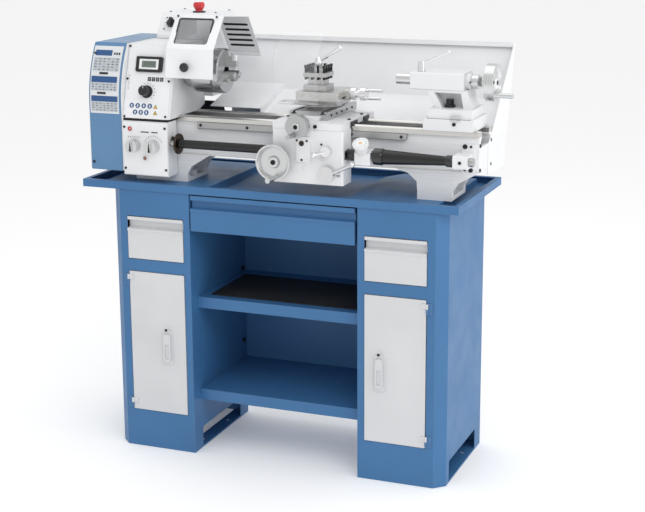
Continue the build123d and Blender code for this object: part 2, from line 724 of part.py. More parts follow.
def drive_motor():
    """The motor's finned body with its foot on the back of the bed."""
    body = rod_x(-430, -266, MOTOR_Y, MOTOR_Z, 50)
    for i in range(16):
        angle = i * tau / 16
        fin = Box(130, 3, 10)
        reach = Pos(-345, MOTOR_Y + 51 * cos(angle), MOTOR_Z + 51 * sin(angle))
        body += reach * Rot(angle * 360 / tau + 90, 0, 0) * fin
    body += block(-400, -300, BED_REAR, 40, 925, 962)
    return body - rod_x(-431, -395, MOTOR_Y, MOTOR_Z, 8 + RUNNING)


def belt_loop(gap):
    """The hull of two circles round the two pulleys, as a face."""
    span_y, span_z = SPINDLE_Y - MOTOR_Y, SPINDLE_Z - MOTOR_Z
    big, small = 40 + gap, 22 + gap
    lean = atan2(span_z, span_y)
    turn = Vector(span_y, span_z).length
    offset = (big - small) / turn
    edge = (1 - offset**2) ** 0.5
    points = []
    for side in (1, -1):
        normal_y = -offset * cos(lean) - side * edge * sin(lean)
        normal_z = -offset * sin(lean) + side * edge * cos(lean)
        points.append((normal_y, normal_z))
    (ay, az), (by, bz) = points
    motor = (MOTOR_Y, MOTOR_Z)
    head = (SPINDLE_Y, SPINDLE_Z)
    edges = [
        Line((0, motor[0] + small * ay, motor[1] + small * az), (0, head[0] + big * ay, head[1] + big * az)),
        ThreePointArc(
            (0, head[0] + big * ay, head[1] + big * az),
            (0, head[0] + big * cos(lean), head[1] + big * sin(lean)),
            (0, head[0] + big * by, head[1] + big * bz),
        ),
        Line((0, head[0] + big * by, head[1] + big * bz), (0, motor[0] + small * by, motor[1] + small * bz)),
        ThreePointArc(
            (0, motor[0] + small * by, motor[1] + small * bz),
            (0, motor[0] - small * cos(lean), motor[1] - small * sin(lean)),
            (0, motor[0] + small * ay, motor[1] + small * az),
        ),
    ]
    return make_face(Wire(edges))


def drive_belt():
    outer = Pos(-493, 0, 0) * extrude(belt_loop(5), amount=8, dir=(1, 0, 0))
    inner = Pos(-494, 0, 0) * extrude(belt_loop(0.5), amount=10, dir=(1, 0, 0))
    return outer - inner


def leadscrew():
    """The leadscrew's bar and the collar on its right end."""
    bar_right = 582.95
    shaft = rod_x(-345, bar_right, LEADSCREW_Y, LEADSCREW_Z, LEADSCREW_RADIUS)
    collar = rod_x(583, 594, LEADSCREW_Y, LEADSCREW_Z, 11.5)
    return group(shaft, collar)


def leadscrew_cover_left():
    """The coiled steel sleeve between the gearbox and the apron, with its end washer."""
    profile = [(-272, 11), (-272, 30), (-266, 30), (-266, 13.5), (30, 13.5), (30, 11)]
    return turned_x(profile, LEADSCREW_Y, LEADSCREW_Z)


def leadscrew_cover_right():
    """The telescoping sleeve from the apron's cup to the end bracket, narrowing to the right."""
    profile = [
        (317, 10.5),
        (317, 22),
        (344, 23),
        (344, 20),
        (539, 12.5),
        (539, 10.5),
    ]
    return turned_x(profile, LEADSCREW_Y, LEADSCREW_Z)


# ---------------------------------------------------------------- chuck
def chuck_body():
    """A three-jaw chuck: backplate, body with a centre bore, jaw slots and key sockets."""
    profile = [
        (-274, 28),
        (-274, 50),
        (-254, 50),
        (-252, 61),
        (-250, CHUCK_RADIUS),
        (CHUCK_RIGHT - 3, CHUCK_RADIUS),
        (CHUCK_RIGHT, CHUCK_RADIUS - 3),
        (CHUCK_RIGHT, 16),
        (-266, 16),
        (-266, 28),
    ]
    body = turned_x(profile, SPINDLE_Y, SPINDLE_Z)
    low = (Align.CENTER, Align.CENTER, Align.MIN)
    for angle in (90, 210, 330):
        turn = Pos(0, SPINDLE_Y, SPINDLE_Z) * Rot(angle - 90, 0, 0)
        body -= turn * Pos(CHUCK_RIGHT - 12, 0, 0) * Box(26, 16, 70, align=low)
        body -= turn * Pos(CHUCK_RIGHT - 19, 0, 0) * Box(8, 24, 70, align=low)
        body -= turn * Rot(60, 0, 0) * Pos(-218, 0, 52) * Box(9, 9, 20, align=low)
    return body


def chuck_jaw(number):
    """A stepped jaw in its slot; number 0, 1 or 2 goes round the chuck."""
    low = (Align.CENTER, Align.CENTER, Align.MIN)
    left = CHUCK_RIGHT - 24
    foot = Pos(CHUCK_RIGHT - 12, 0, 12) * Box(24, 15.2, 46, align=low)
    foot += Pos(CHUCK_RIGHT - 19, 0, 12) * Box(7.2, 23.2, 46, align=low)
    for inner, outer, reach in ((12, 28, 34), (26, 43, 22), (41, 58, 11)):
        middle = (left + CHUCK_RIGHT + reach) / 2
        foot += Pos(middle, 0, inner) * Box(reach + 24, 15.2, outer - inner, align=low)
    turn = Pos(0, SPINDLE_Y, SPINDLE_Z) * Rot((90, 210, 330)[number] - 90, 0, 0)
    return turn * foot


def chuck_guard():
    """The folded steel hood over the chuck, with a window cut in its leaning panel."""
    line = [(-190, 1101), (-181, 1182), (-108, 1270), (58, 1256), (GUARD_HINGE_Y - 3, GUARD_HINGE_Z + 3)]
    front = [(-190, 1101), (-181, 1182), (-108, 1270), (14, 1259.7)]
    hood = prism_x(strip(front[::-1], 2), GUARD_LEFT, GUARD_RIGHT)
    hood += prism_x(strip(line[::-1], 2), -256, GUARD_RIGHT)
    hood += prism_x([(-170, 1196), (-110, 1268), (13, 1258), (13, 1206)], GUARD_LEFT, GUARD_LEFT + 2)
    hood += rod_x(-254, GUARD_RIGHT, GUARD_HINGE_Y, GUARD_HINGE_Z, 7)
    hood -= rod_x(-260, GUARD_RIGHT + 1, GUARD_HINGE_Y, GUARD_HINGE_Z, 4 + RUNNING)
    share = ((-166, 1192), (-120, 1260))
    lean = Vector(0, share[1][0] - share[0][0], share[1][1] - share[0][1])
    middle = (-233, (share[0][0] + share[1][0]) / 2, (share[0][1] + share[1][1]) / 2)
    plane = Plane(origin=middle, x_dir=(1, 0, 0), z_dir=(0, -lean.Z, lean.Y))
    window = Box(104, 82, 40)
    return hood - plane * fillet(window.edges().filter_by(Axis.Z), 8)


# ---------------------------------------------------------------- splash guard
def splash_guard():
    """The back sheet with its folded top, the swarf ramp at its foot and the right wing."""
    left, right = -258, BED_RIGHT + 2
    lean = 0.29

    def back_y(z):
        return 120 + lean * (z - 850)

    sheet = [(back_y(850), 850), (back_y(1188), 1188), (200, 1190), (200, 1177)]
    body = prism_x(strip(sheet, SHEET), left, right)
    ramp = [(10, 978), (back_y(1030) - 1, 1031)]
    body += prism_x(strip(ramp, SHEET), left + 160, right)
    chute = [(2, 996), (back_y(1046) - 1, 1046)]
    body += prism_x(strip(chute, SHEET), left, left + 162)
    body += prism_x([(2, 978), (2, 998), (back_y(1046), 1047), (back_y(1030), 1031)], left + 160, left + 162)
    wing = [(-52, 860), (-52, 945), (-25, 962), (199, 1180), (200, 1190), (218, 1190), (back_y(850), 850)]
    body += prism_x(wing, BED_RIGHT, right)
    return body


# ---------------------------------------------------------------- carriage
def saddle():
    """The casting that straddles both ways and carries the cross slide's dovetail."""
    section = [
        (-214, 981),
        (-151, 981),
        (-151, 986.4),
        (-135.4, 986.4),
        (-131, 990.8),
        (-126.6, 986.4),
        (-26.4, 986.4),
        (-22, 990.8),
        (-17.6, 986.4),
        (0, 986.4),
        (0, 1001),
        (-214, 1001),
    ]
    body = prism_x(section, 35, 237)
    body += prism_y([(88, 1000), (82, 1013), (162, 1013), (156, 1000)], -206, 40)
    body += block(82, 162, -2, 40, 993, 1001)
    body += rounded_z(block(196, 244, -10, 24, 987, 1004), 3)
    body -= rod_y(CROSS_WHEEL_X, -220, -150, CROSS_WHEEL_Z, 5 + RUNNING)
    return body


def apron_box():
    """The apron's casting as its walls: the face, the top and bottom, and the ends round the leadscrew."""
    face = block(34, 240, -215, -203, 833, 980.9)
    face = fillet(face.edges().filter_by(Axis.Z).sort_by(Axis.Y)[:2], 5)
    face += rounded_y(block(105, 147, -219, -214, 892, 963), 3)
    face -= rod_y(CARRIAGE_WHEEL_X, -220, -200, CARRIAGE_WHEEL_Z, 8 + RUNNING)
    face -= rod_y(HALF_NUT_X, -220, -200, HALF_NUT_Z, 8 + RUNNING)
    face -= rod_y(FEED_LEVER_X, -220, -200, FEED_LEVER_Z, 6 + RUNNING)
    walls = [
        face,
        block(34, 240, -202.95, -152, 968, 980.9),
        block(34, 240, -202.95, -152, 833, 845),
    ]
    for x in (34, 228):
        walls.append(block(x, x + 12, -202.95, -152, 845.05, 902))
        walls.append(block(x, x + 12, -202.95, -152, 926, 967.95))
    return walls


def half_nuts():
    """The two halves of the leadscrew nut, standing open."""
    nuts = []
    for low, groove in ((LEADSCREW_Z + 10, 10), (LEADSCREW_Z - 30, -10)):
        nut = block(170, 215, -198, -166, low, low + 20)
        nuts.append(nut - rod_x(165, 220, LEADSCREW_Y, LEADSCREW_Z + groove, LEADSCREW_RADIUS + 0.4))
    return nuts


def dial_housing():
    """The threading dial's bracket: it reaches over the leadscrew and is open below."""
    arm = block(240.05, 312, -171, -160, 891, 924.15)
    face = rounded_z(block(266, 312, -202, -192.6, 891, 924.15), 4)
    bridge = block(266, 312, -194.5, -160, 924.2, 929)
    neck = bar((DIAL_CENTRE[0], -194.8, 929.2), DIAL_CENTRE, 15.8, 20)
    return [arm, face, bridge, neck]


def apron():
    """The apron's walls, the thread dial's bracket and the pair of half nuts inside."""
    return group(*apron_box(), *half_nuts(), *dial_housing())


def dial_plane():
    """A plane on the threading dial's tilted face."""
    return Plane(origin=DIAL_CENTRE, z_dir=(0, DIAL_CENTRE[1] + 190, DIAL_CENTRE[2] - 922))


def threading_dial():
    """The dial's disc, resting just above its housing."""
    low = (Align.CENTER, Align.CENTER, Align.MIN)
    return dial_plane() * (Pos(0, 0, 0.4) * Cylinder(22, 8, align=low))


def carriage_handwheel():
    """A dished hand wheel with a revolving handle, on its pinion shaft."""
    profile = [
        (-203, 0),
        (-203, 8),
        (-216.5, 8),
        (-216.5, 17),
        (-232, 17),
        (-237, 44),
        (-237, 50),
        (-252, 50),
        (-252, 45),
        (-240, 38),
        (-240, 18),
        (-248, 14),
        (-248, 0),
    ]
    wheel = turned_y(profile, CARRIAGE_WHEEL_X, CARRIAGE_WHEEL_Z)
    x, z = CARRIAGE_WHEEL_X + 2, CARRIAGE_WHEEL_Z - 43
    return wheel + rod_y(x, -258, -245, z, 5) + rod_y(x, -292, -256, z, 7)


def cross_slide():
    """The cross slide: a dovetailed table with two T-slots."""
    body = block(66, 178, -170, CROSS_SLIDE_REAR, 1001.4, 1024)
    body -= prism_y([(87.2, 1000), (81.2, 1013.5), (162.8, 1013.5), (156.8, 1000)], -171, CROSS_SLIDE_REAR + 1)
    for x in (80, 164):
        body -= block(x - 4, x + 4, -171, CROSS_SLIDE_REAR + 1, 1016, 1025)
        body -= block(x - 8, x + 8, -171, CROSS_SLIDE_REAR + 1, 1016, 1019.5)
    return body


def cross_slide_wheel():
    """The cross slide's hand wheel: a drum, its graduated dial, a handle and a screw end."""
    x, z = CROSS_WHEEL_X, CROSS_WHEEL_Z
    profile = [
        (-160, 0),
        (-160, 5),
        (-215.6, 5),
        (-215.6, 22),
        (-236, 22),
        (-236, 31),
        (-262, 31),
        (-262, 0),
    ]
    wheel = turned_y(profile, x, z)
    return wheel + rod_y(x - 9, -270, -261, z - 23, 5) + rod_y(x - 9, -296, -268, z - 23, 6.5)


def compound_base():
    """The swivelling base under the top slide, with the tool shield's bracket."""
    disc = rod_z(COMPOUND_X, COMPOUND_Y, 1024.4, 1036, 50)
    plate = block(65, 180, -104, 8, 1034, 1045)
    tail = prism_x([(-90, 1044), (-96, 1056), (-18, 1056), (-24, 1044)], 65, 165)
    arm = block(15, 66, -98, -88, 1035, 1043) + block(15, 25, -130, -88, 1035, 1043)
    arm += rod_x(15, 140, SHIELD_HINGE_Y, SHIELD_HINGE_Z, 2.5) + block(15, 25, -137, -128, 1035, 1043)
    return disc + plate + tail + arm


def top_slide():
    """The top slide with its end bearing and the tool post's stud."""
    body = block(68, 193, -128, 6, 1046.5, 1071)
    body -= prism_x([(-88.5, 1040), (-96.8, 1056.6), (-17.2, 1056.6), (-25.5, 1040)], 60, 200)
    body += rounded_x(block(192, 208, CRANK_Y - 20, CRANK_Y + 20, 1046.5, 1076), 6)
    body -= rod_x(150, 210, CRANK_Y, CRANK_Z + 4, 5 + RUNNING)
    return body + rod_z(POST_X, POST_Y, 1070, 1140, 8)


def top_slide_crank():
    """The top slide's crank: a graduated collar, a hub and two handles."""
    z = CRANK_Z + 4
    profile = [
        (180, 0),
        (180, 5),
        (208.5, 5),
        (208.5, 17),
        (224, 17),
        (224, 11),
        (236, 11),
        (236, 18),
        (252, 18),
        (252, 0),
    ]
    body = turned_x(profile, CRANK_Y, z)
    for side in (-1, 1):
        body += rod_x(250, 296, CRANK_Y + 7 * side, z + 10 * side, 4)
    return body


def tool_post():
    """A four-way tool post: two square plates on a core, with the clamping screws."""
    half, core = 33, 22
    x, y = POST_X, POST_Y
    body = rounded_z(block(x - half, x + half, y - half, y + half, 1071.4, 1088), 2)
    body += block(x - core, x + core, y - core, y + core, 1087, 1111)
    body += rounded_z(block(x - half, x + half, y - half, y + half, 1110, 1121), 2)
    body -= rod_z(x, y, 1071, 1122, 8 + RUNNING)
    screws = []
    places = (-27, -9, 9, 27)
    for along in places:
        for across in places:
            if max(abs(along), abs(across)) == 27:
                px, py = x + along, y + across
                body -= rod_z(px, py, 1109, 1122, 3.6)
                screws.append(rod_z(px, py, 1102, 1134, 3.5) + block(px - 3.5, px + 3.5, py - 3.5, py + 3.5, 1134, 1142))
    return group(body, *screws)


def tool_post_lever():
    """The tool post's clamping hub and its raised lever."""
    hub = rod_z(POST_X, POST_Y, 1121.4, 1150, 11) + Pos(POST_X, POST_Y, 1156) * Cone(11, 6, 12)
    hub -= rod_z(POST_X, POST_Y, 1121, 1141, 8 + RUNNING)
    end = (POST_X + 64, POST_Y, 1189)
    return hub + lever((POST_X + 4, POST_Y, 1152), end, 4.5, 6.2, 6.6)


def tool_shield():
    """The clear chip shield: a flat sheet bent back at the top, clipped on its rod."""
    sheet = [(-141, 1032), (-141, 1172), (-85, 1232)]
    body = prism_x(strip(sheet, 3), 14, 136)
    for x in (40, 100):
        body += rod_x(x, x + 24, SHIELD_HINGE_Y, SHIELD_HINGE_Z, 5)
        body += block(x, x + 24, -144.5, SHIELD_HINGE_Y, SHIELD_HINGE_Z - 4, SHIELD_HINGE_Z + 4)
        body -= rod_x(x - 1, x + 25, SHIELD_HINGE_Y, SHIELD_HINGE_Z, 2.5 + RUNNING)
    return body


def half_nut_lever():
    """The half-nut disc with its lever and ball."""
    x, z = HALF_NUT_X, HALF_NUT_Z
    disc = rod_y(x, -238, -215.6, z, 22) + rod_y(x, -217, -203, z, 8)
    end = (278, -250, 900)
    return disc + lever((x + 14, -232, z + 2), end, 5, 6, 8)


def feed_lever():
    """The power-feed lever: a boss, a short arm and a ball."""
    x, z = FEED_LEVER_X, FEED_LEVER_Z
    boss = rod_y(x, -234, -215.6, z, 14) + rod_y(x, -217, -203, z, 6)
    end = (x - 32, -236, z - 10)
    return boss + lever((x, -228, z), end, 6, 5, 8.5)


# ---------------------------------------------------------------- tailstock
def tailstock_casting():
    """The tailstock: base on the ways, raked web with a clamp window, quill barrel, clamp plate."""
    section = [
        (-145, 986.4),
        (-135.4, 986.4),
        (-131, 990.8),
        (-126.6, 986.4),
        (-26.4, 986.4),
        (-22, 990.8),
        (-17.6, 986.4),
        (-8, 986.4),
        (-8, 1019),
        (-145, 1019),
    ]
    body = prism_x(section, 441, 580)
    body += block(454, 573, -139, -14, 1018, 1044)
    web = [(437, 1092), (552, 1092), (566, 1043), (466, 1043)]
    body += prism_y(web, -112, -36)
    window = [(461, 1084), (535, 1084), (542, 1044), (484, 1044)]
    body -= prism_y(window, -113, -76)
    body += rounded_x(block(394, 544, -116, -31, 1090, 1137), 5)
    body += rod_x(543, 556, SPINDLE_Y, SPINDLE_Z, 21)
    body -= rod_x(390, 540, SPINDLE_Y, SPINDLE_Z, QUILL_RADIUS + RUNNING)
    body -= rod_x(530, 560, SPINDLE_Y, SPINDLE_Z, 8 + RUNNING)
    body -= rod_z(421, -98, 1125, 1140, 5 + RUNNING)
    body -= rod_z(500, -94, 980, 1050, 6.5)
    plate = block(480, 525, -118, -35, 948, 958) - rod_z(500, -94, 940, 960, 6.5)
    return group(body, plate)


def tailstock_clamp():
    """The clamp bolt's nut and washer in the tailstock's window, and the bolt down to its plate."""
    hexagon = [(500 + 11 * cos(i * pi / 3), -94 + 11 * sin(i * pi / 3)) for i in range(6)]
    body = prism_z(hexagon, 1049.5, 1066)
    body += rod_z(500, -94, 1044.4, 1050, 15)
    body += rod_z(500, -94, 940, 1050, 6)
    return body + rod_z(500, -94, 938, 947.5, 11)


def quill():
    """The quill with its tapered nose socket and a bore for the feed screw."""
    body = rod_x(QUILL_TIP, 500, SPINDLE_Y, SPINDLE_Z, QUILL_RADIUS)
    body -= taper_x(QUILL_TIP - 1, 410, SPINDLE_Y, SPINDLE_Z, 9, 7.3)
    return body - rod_x(405, 501, SPINDLE_Y, SPINDLE_Z, 6.3)


def tailstock_wheel():
    """The tailstock's dished hand wheel, its feed screw and handle."""
    profile = [
        (470, 0),
        (470, 6),
        (528, 6),
        (530, 8),
        (556.5, 8),
        (556.5, 19),
        (575, 19),
        (585, 13),
        (606, 13),
        (610, 44),
        (598, 45),
        (598, 50),
        (624, 50),
        (624, 44),
        (616, 38),
        (616, 12),
        (618, 0),
    ]
    wheel = turned_x(profile, SPINDLE_Y, SPINDLE_Z)
    y, z = SPINDLE_Y - 33, SPINDLE_Z - 29
    return wheel + rod_x(615, 630, y, z, 5) + rod_x(628, 676, y, z, 7)


def quill_lock_lever():
    """The quill's lock lever on top of the tailstock."""
    hub = Pos(421, -98, 1151) * Cone(11, 8, 27) + rod_z(421, -98, 1126, 1140, 5)
    end = (497, -98, 1192)
    return hub + lever((424, -98, 1158), end, 4, 5.2, 5.6)


# ---------------------------------------------------------------- whole machine
def build():
    """Every node by name, before the move to the final origin."""
    nodes = {
        "left_pedestal": on_left(pedestal()),
        "right_pedestal": on_right(pedestal()),
        "chip_tray": chip_tray(),
        "stand_shelves": stand_shelves(),
        "shelf_mat": shelf_mat(),
        "stand_fittings": stand_fittings(),
        "left_door": on_left(door(LEFT_LATCH_U)),
        "right_door": on_right(door(RIGHT_LATCH_U)),
        "left_latch": on_left(latch(LEFT_LATCH_U)),
        "right_latch": on_right(latch(RIGHT_LATCH_U)),
        "left_drawer": on_left(small_drawer()),
        "right_drawer": on_right(small_drawer()),
        "centre_drawer": centre_drawer(),
        "bed": bed(),
        "bed_fittings": bed_fittings(),
        "headstock_casting": headstock_casting(),
        "front_panels": front_panels(),
        "electrical_cabinet": electrical_cabinet(),
        "feed_gearbox": feed_gearbox(),
        "drive_motor": drive_motor(),
        "drive_belt": drive_belt(),
        "splash_guard": splash_guard(),
        "end_cover": end_cover(),
        "spindle": spindle(),
        "chuck_body": chuck_body(),
        "motor_pulley": motor_pulley(),
        "idler_gear_1": idler_gear(1),
        "idler_gear_2": idler_gear(2),
        "feed_input_gear": feed_input_gear(),
        "leadscrew": leadscrew(),
        "leadscrew_cover_left": leadscrew_cover_left(),
        "leadscrew_cover_right": leadscrew_cover_right(),
        "chuck_guard": chuck_guard(),
        "stop_button": stop_button(),
        "power_switch": power_switch(),
        "speed_knob": speed_knob(),
        "direction_knob": gearbox_knob(-399),
        "feed_knob": gearbox_knob(-339),
        "saddle": saddle(),
        "apron": apron(),
        "carriage_handwheel": carriage_handwheel(),
        "cross_slide": cross_slide(),
        "cross_slide_wheel": cross_slide_wheel(),
        "compound_base": compound_base(),
        "top_slide": top_slide(),
        "top_slide_crank": top_slide_crank(),
        "tool_post": tool_post(),
        "tool_post_lever": tool_post_lever(),
        "tool_shield": tool_shield(),
        "half_nut_lever": half_nut_lever(),
        "feed_lever": feed_lever(),
        "threading_dial": threading_dial(),
        "tailstock_casting": tailstock_casting(),
        "tailstock_clamp": tailstock_clamp(),
        "quill": quill(),
        "tailstock_wheel": tailstock_wheel(),
        "quill_lock_lever": quill_lock_lever(),
    }
    for number in range(3):
        nodes[f"chuck_jaw_{number + 1}"] = chuck_jaw(number)
    return nodes


def origin_shift(nodes):
    """The move that puts the origin under the middle of the bounding box."""
    boxes = [shape.bounding_box() for shape in nodes.values()]
    x = (min(b.min.X for b in boxes) + max(b.max.X for b in boxes)) / 2
    y = (min(b.min.Y for b in boxes) + max(b.max.Y for b in boxes)) / 2
    return -x, -y


def main():
    nodes = build()
    shift_x, shift_y = origin_shift(nodes)
    os.makedirs("parts", exist_ok=True)
    for name, shape in nodes.items():
        export_step(Pos(shift_x, shift_y, 0) * shape, f"parts/{name}.step")


if __name__ == "__main__":
    main()
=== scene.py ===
"""Looks for the bench lathe on its cabinet stand: finishes, small fittings, camera, lights and floor.

Lengths in this script are in millimetres from the middle of the chip tray, as the machine is drawn,
and at() turns them into the row frame's metres.
"""

from math import cos, hypot, radians, sin, tau

import bmesh
import bpy
from mathutils import Matrix, Vector


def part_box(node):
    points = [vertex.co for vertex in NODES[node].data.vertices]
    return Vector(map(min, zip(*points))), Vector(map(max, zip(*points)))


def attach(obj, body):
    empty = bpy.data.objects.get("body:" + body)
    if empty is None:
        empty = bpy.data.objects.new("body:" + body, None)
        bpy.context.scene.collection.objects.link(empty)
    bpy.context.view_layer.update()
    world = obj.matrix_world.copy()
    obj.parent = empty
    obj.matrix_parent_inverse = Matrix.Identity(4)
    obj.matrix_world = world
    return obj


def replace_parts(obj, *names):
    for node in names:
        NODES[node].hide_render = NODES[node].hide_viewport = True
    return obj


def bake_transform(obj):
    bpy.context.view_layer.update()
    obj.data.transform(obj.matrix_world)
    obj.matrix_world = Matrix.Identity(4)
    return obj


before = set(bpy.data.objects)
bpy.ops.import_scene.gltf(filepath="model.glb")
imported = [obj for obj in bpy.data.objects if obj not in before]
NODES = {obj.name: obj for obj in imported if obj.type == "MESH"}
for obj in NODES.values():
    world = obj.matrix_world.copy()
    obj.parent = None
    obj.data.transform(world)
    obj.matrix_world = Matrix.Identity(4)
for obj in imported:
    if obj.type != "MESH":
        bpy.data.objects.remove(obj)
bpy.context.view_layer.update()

TRAY_LOW, TRAY_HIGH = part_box("chip_tray")
MIDDLE = (TRAY_LOW + TRAY_HIGH) / 2
OUT = (0, -1, 0)
RIGHT = (1, 0, 0)
UP = (0, 0, 1)

SPINDLE = (-77, 1112.5)
SCREW_AXIS = (-182, 914)
TOOL_POST = (116, -77)
CARRIAGE_WHEEL = (49, 892)
CROSS_WHEEL = (123, 995)
KNOBS = {"direction_knob": -399, "feed_knob": -339}
KNOB_HEIGHT = 905
SPEED_KNOB = (-366, 1057)
DIAL = (288, -206, 946)
GEARBOX_FACE = -202.05
APRON_FACE = -215.05

CAMERA_ANGLES = (21.63, 13.14, -0.33)
CAMERA_AIM = (94.5, 0, 664.4)
CAMERA_DISTANCE = 4.1813
SENSOR = 36
IMAGE_WIDTH = 645
FOCAL_LENGTH = 1446.05
CENTRE_SHIFT = -30
FLOOR_REACH = 30


def at(x, y, z):
    """A point of the drawing as a point of the row frame."""
    return Vector((MIDDLE.x + x / 1000, MIDDLE.y + y / 1000, z / 1000))


# ---------------- camera, light and floor
def make_camera():
    azimuth, elevation, roll = (radians(angle) for angle in CAMERA_ANGLES)
    back = Vector((sin(azimuth) * cos(elevation), -cos(azimuth) * cos(elevation), sin(elevation)))
    right = Vector((cos(azimuth), sin(azimuth), 0))
    up = back.cross(right)
    across = right * cos(roll) + up * sin(roll)
    upright = up * cos(roll) - right * sin(roll)
    data = bpy.data.cameras.new("camera")
    data.sensor_width = SENSOR
    data.lens = SENSOR * FOCAL_LENGTH / IMAGE_WIDTH
    data.shift_y = CENTRE_SHIFT / IMAGE_WIDTH
    data.clip_end = 60
    camera = bpy.data.objects.new("camera", data)
    bpy.context.scene.collection.objects.link(camera)
    turn = Matrix((across, upright, back)).transposed().to_4x4()
    camera.matrix_world = Matrix.Translation(at(*CAMERA_AIM) + back * CAMERA_DISTANCE) @ turn
    bpy.context.scene.camera = camera


def area_light(name, place, towards, size, power):
    data = bpy.data.lights.new(name, "AREA")
    data.shape = "RECTANGLE"
    data.size, data.size_y = size
    data.energy = power
    light = bpy.data.objects.new(name, data)
    bpy.context.scene.collection.objects.link(light)
    light.location = place
    light.rotation_euler = (Vector(towards) - Vector(place)).to_track_quat("-Z", "Y").to_euler()


def make_lights():
    world = bpy.data.worlds.new("studio")
    world.use_nodes = True
    background = world.node_tree.nodes["Background"]
    background.inputs["Color"].default_value = (1, 1, 1, 1)
    background.inputs["Strength"].default_value = 0.80
    bpy.context.scene.world = world
    bpy.context.scene.view_settings.view_transform = "Standard"
    area_light("key", (1.9, -2.4, 3.3), (0, 0, 0.9), (2.4, 2.0), 34)
    area_light("side", (3.4, -0.2, 1.5), (0, 0, 0.8), (1.6, 2.4), 24)
    area_light("top", (-0.4, 0.2, 3.6), (0, 0, 0.9), (3.0, 2.2), 16)


def make_floor():
    mesh = bpy.data.meshes.new("floor")
    corners = [(FLOOR_REACH * x, FLOOR_REACH * y, 0) for x, y in ((-1, -1), (1, -1), (1, 1), (-1, 1))]
    mesh.from_pydata(corners, [], [(0, 1, 2, 3)])
    floor = bpy.data.objects.new("floor", mesh)
    bpy.context.scene.collection.objects.link(floor)
    floor.location.z = -0.0005
    material = bpy.data.materials.new("floor")
    material.use_nodes = True
    shader = material.node_tree.nodes["Principled BSDF"]
    shader.inputs["Base Color"].default_value = (0.96, 0.96, 0.96, 1)
    shader.inputs["Roughness"].default_value = 0.85
    shader.inputs["Emission Color"].default_value = (1, 1, 1, 1)
    shader.inputs["Emission Strength"].default_value = 0.14
    mesh.materials.append(material)


# ---------------- shader building
class Finish:
    """A procedural material, built from the object's own coordinates."""

    def __init__(self, name):
        self.material = bpy.data.materials.new(name)
        self.material.use_nodes = True
        self.tree = self.material.node_tree
        self.shader = self.tree.nodes["Principled BSDF"]
        self.coords = self.tree.nodes.new("ShaderNodeTexCoord").outputs["Object"]

    def set(self, **values):
        for socket, value in values.items():
            self.shader.inputs[socket.replace("_", " ")].default_value = value

    def link(self, output, socket):
        self.tree.links.new(output, socket)

    def feed(self, socket, output):
        """Drives one of the shader's sockets."""
        self.link(output, self.shader.inputs[socket])

    def noise(self, scale, detail=2.0, stretch=None):
        source = self.coords
        if stretch:
            mapping = self.tree.nodes.new("ShaderNodeMapping")
            mapping.inputs["Scale"].default_value = stretch
            self.link(source, mapping.inputs["Vector"])
            source = mapping.outputs["Vector"]
        node = self.tree.nodes.new("ShaderNodeTexNoise")
        node.inputs["Scale"].default_value = scale
        node.inputs["Detail"].default_value = detail
        self.link(source, node.inputs["Vector"])
        return node.outputs["Fac"]

    def math(self, operation, first, second=None, clamp=False):
        node = self.tree.nodes.new("ShaderNodeMath")
        node.operation = operation
        node.use_clamp = clamp
        for socket, value in zip(node.inputs, (first, second)):
            if value is None:
                continue
            if isinstance(value, (int, float)):
                socket.default_value = value
            else:
                self.link(value, socket)
        return node.outputs[0]

    def remap(self, value, low, high, to_low, to_high):
        node = self.tree.nodes.new("ShaderNodeMapRange")
        limits = {"From Min": low, "From Max": high, "To Min": to_low, "To Max": to_high}
        for name, number in limits.items():
            node.inputs[name].default_value = number
        self.link(value, node.inputs["Value"])
        return node.outputs["Result"]

    def mix(self, factor, first, second):
        node = self.tree.nodes.new("ShaderNodeMix")
        node.data_type = "RGBA"
        self.link(factor, node.inputs[0])
        for socket, value in zip(node.inputs[6:8], (first, second)):
            if isinstance(value, tuple):
                socket.default_value = (*value, 1)
            else:
                self.link(value, socket)
        return node.outputs[2]

    def shade(self, value, colour, low, high):
        """A colour times low to high, as a noise goes through its middle range."""
        return self.mix(self.remap(value, 0.3, 0.7, 0, 1), scaled(colour, low), scaled(colour, high))

    def edge_highlight(self, edge, amount, body, light):
        """Sets the base colour, lighter near edges: a painted highlight along every edge."""
        self.feed("Base Color", self.mix(self.math("MULTIPLY", edge, amount), body, light))

    def roughen(self, value, low, high, start=0.3, stop=0.7):
        self.feed("Roughness", self.remap(value, start, stop, low, high))

    def axis(self, letter):
        node = self.tree.nodes.new("ShaderNodeSeparateXYZ")
        self.link(self.coords, node.inputs[0])
        return node.outputs["XYZ".index(letter)]

    def rounded_edges(self, radius):
        """A shading normal that rounds sharp edges, and how near an edge is."""
        bevel = self.tree.nodes.new("ShaderNodeBevel")
        bevel.samples = 4
        bevel.inputs["Radius"].default_value = radius
        geometry = self.tree.nodes.new("ShaderNodeNewGeometry")
        dot = self.tree.nodes.new("ShaderNodeVectorMath")
        dot.operation = "DOT_PRODUCT"
        self.link(bevel.outputs["Normal"], dot.inputs[0])
        self.link(geometry.outputs["Normal"], dot.inputs[1])
        return bevel.outputs["Normal"], self.remap(dot.outputs["Value"], 0.99, 0.80, 0, 1)

    def bump(self, height, strength, distance, normal=None):
        node = self.tree.nodes.new("ShaderNodeBump")
        node.inputs["Strength"].default_value = strength
        node.inputs["Distance"].default_value = distance
        self.link(height, node.inputs["Height"])
        if normal is not None:
            self.link(normal, node.inputs["Normal"])
        self.link(node.outputs["Normal"], self.shader.inputs["Normal"])


def scaled(colour, share):
    return tuple(min(1.0, c * share) for c in colour)


